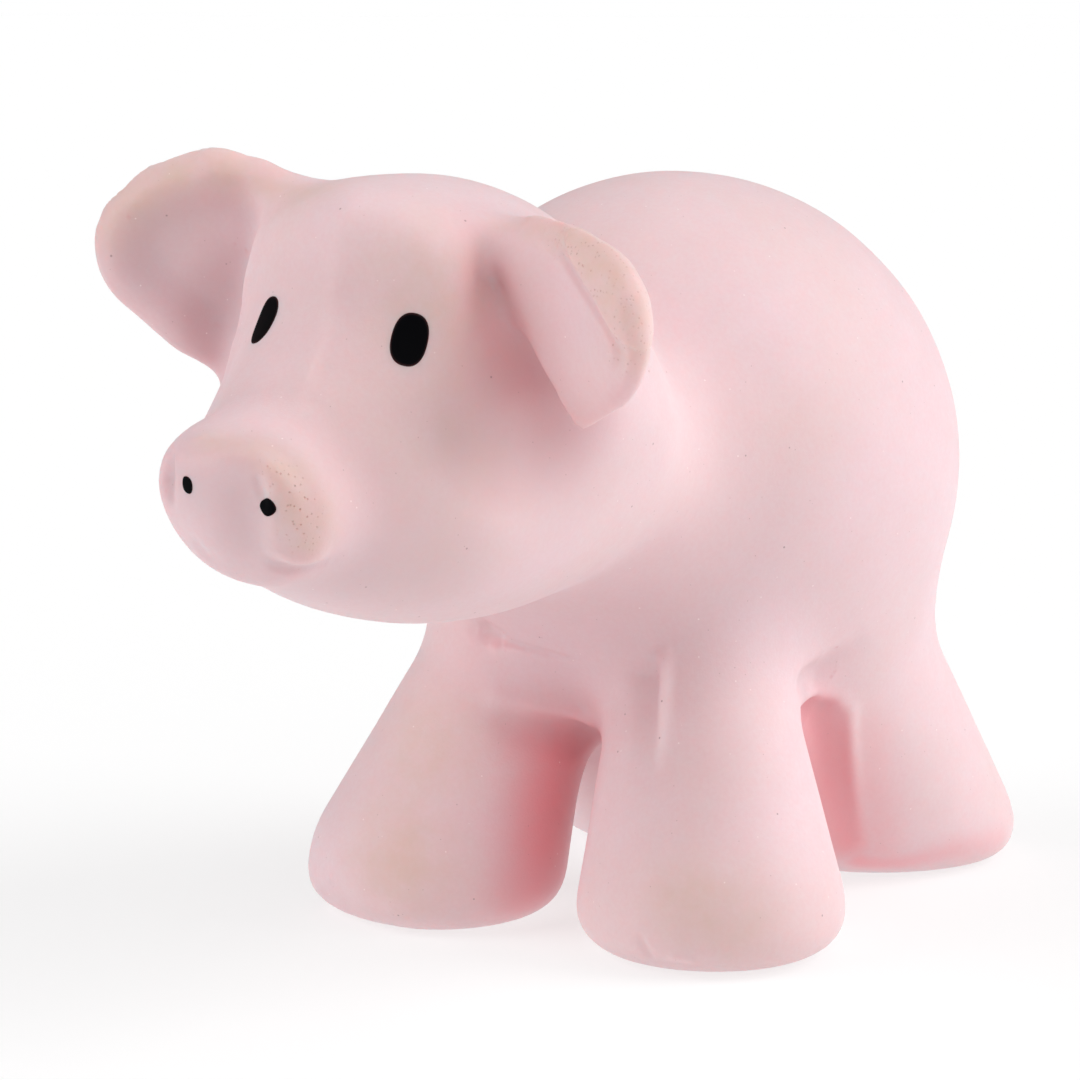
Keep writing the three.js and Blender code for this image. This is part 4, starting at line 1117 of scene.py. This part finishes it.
class PIG_OT_rattle_beads(bpy.types.Operator):
    """Put the loose beads into the rattle capsule"""
    bl_idname = "pig.rattle_beads"
    bl_label = "Rattle beads"

    def execute(self, context):
        for number, count in enumerate(("first", "second", "third", "fourth", "fifth"), 1):
            low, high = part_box(f"bead_{number}")
            body = bmesh.new()
            bmesh.ops.create_uvsphere(body, u_segments=40, v_segments=24, radius=BEAD_RADIUS * MM,
                                      matrix=Matrix.Translation((low + high) / 2))
            bead = new_piece(f"{count}_bead", body, polypropylene)
            heights = np.array([v.co.z for v in bead.data.vertices]) - (low + high).z / 2
            tint(bead.data, "parting", np.abs(heights) / (BEAD_RADIUS * MM))
            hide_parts(f"bead_{number}")
            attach(bead, f"{count}_bead")
        return {"FINISHED"}


class PIG_OT_stage(bpy.types.Operator):
    """Lay the floor, hang the lights and aim the camera"""
    bl_idname = "pig.stage"
    bl_label = "Stage"

    def execute(self, context):
        settings = context.scene.pig_stage
        floor = bmesh.new()
        bmesh.ops.create_circle(floor, cap_ends=True, segments=96, radius=FLOOR_RADIUS)
        ground = new_piece("floor", floor, frosted_glass)

        world = bpy.data.worlds.new("studio")
        world.use_nodes = True
        tree = world.node_tree
        tree.nodes.clear()
        seen, cast = (add(tree, "ShaderNodeBackground", {"Color": (1, 1, 1, 1), "Strength": strength})
                      for strength in (1, settings.fill))
        shader = add(tree, "ShaderNodeMixShader", {
            "Fac": add(tree, "ShaderNodeLightPath").outputs["Is Camera Ray"], 1: cast.outputs[0],
            2: seen.outputs[0]})
        add(tree, "ShaderNodeOutputWorld", {"Surface": shader.outputs["Shader"]})
        context.scene.world = world

        for name, way, strength in LIGHTS:
            light = bpy.data.lights.new(name, "SUN")
            light.energy = strength * settings.key
            light.angle = LIGHT_SOFTNESS
            lamp = bpy.data.objects.new(name, light)
            lamp.rotation_euler = Vector(way).to_track_quat("Z", "Y").to_euler()
            context.scene.collection.objects.link(lamp)

        aim = Vector((PLACE + CAMERA_AIM) * MM)
        azimuth, elevation, roll = (math.radians(turn) for turn in CAMERA_TURNS)
        back = Vector((math.sin(azimuth) * math.cos(elevation), -math.cos(azimuth) * math.cos(elevation),
                       math.sin(elevation)))
        lens = bpy.data.cameras.new("camera")
        lens.lens = CAMERA_LENS
        lens.sensor_width = CAMERA_SENSOR
        camera = bpy.data.objects.new("camera", lens)
        camera.location = aim + back * CAMERA_DISTANCE * MM
        camera.rotation_euler = ((-back).to_track_quat("-Z", "Y").to_matrix()
                                 @ Matrix.Rotation(roll, 3, "Z")).to_euler()
        context.scene.collection.objects.link(camera)
        context.scene.camera = camera
        context.scene.view_settings.view_transform = "Standard"
        return {"FINISHED"}


class PIG_PT_panel(bpy.types.Panel):
    """Lists the pig's pieces"""
    bl_idname = "PIG_PT_panel"
    bl_label = "Pig teething toy"
    bl_space_type = "VIEW_3D"
    bl_region_type = "UI"
    bl_category = "Teether"

    def draw(self, context):
        for operator in OPERATORS:
            self.layout.operator(operator.bl_idname)


SETTINGS = {"pig_rubber": RubberSettings, "pig_face": FaceSettings, "pig_stage": StageSettings}
OPERATORS = (PIG_OT_rubber_skin, PIG_OT_painted_face, PIG_OT_bung, PIG_OT_rattle_capsule, PIG_OT_rattle_beads,
             PIG_OT_stage)


def register():
    for name, group in SETTINGS.items():
        bpy.utils.register_class(group)
        setattr(bpy.types.Scene, name, bpy.props.PointerProperty(type=group))
    for operator in OPERATORS:
        bpy.utils.register_class(operator)
    bpy.utils.register_class(PIG_PT_panel)


def unregister():
    bpy.utils.unregister_class(PIG_PT_panel)
    for operator in reversed(OPERATORS):
        bpy.utils.unregister_class(operator)
    for name, group in SETTINGS.items():
        delattr(bpy.types.Scene, name)
        bpy.utils.unregister_class(group)


def main():
    register()
    bpy.ops.pig.rubber_skin()
    bpy.ops.pig.painted_face()
    bpy.ops.pig.bung()
    bpy.ops.pig.rattle_capsule()
    bpy.ops.pig.rattle_beads()
    bpy.ops.pig.stage()


if __name__ == "__main__":
    main()
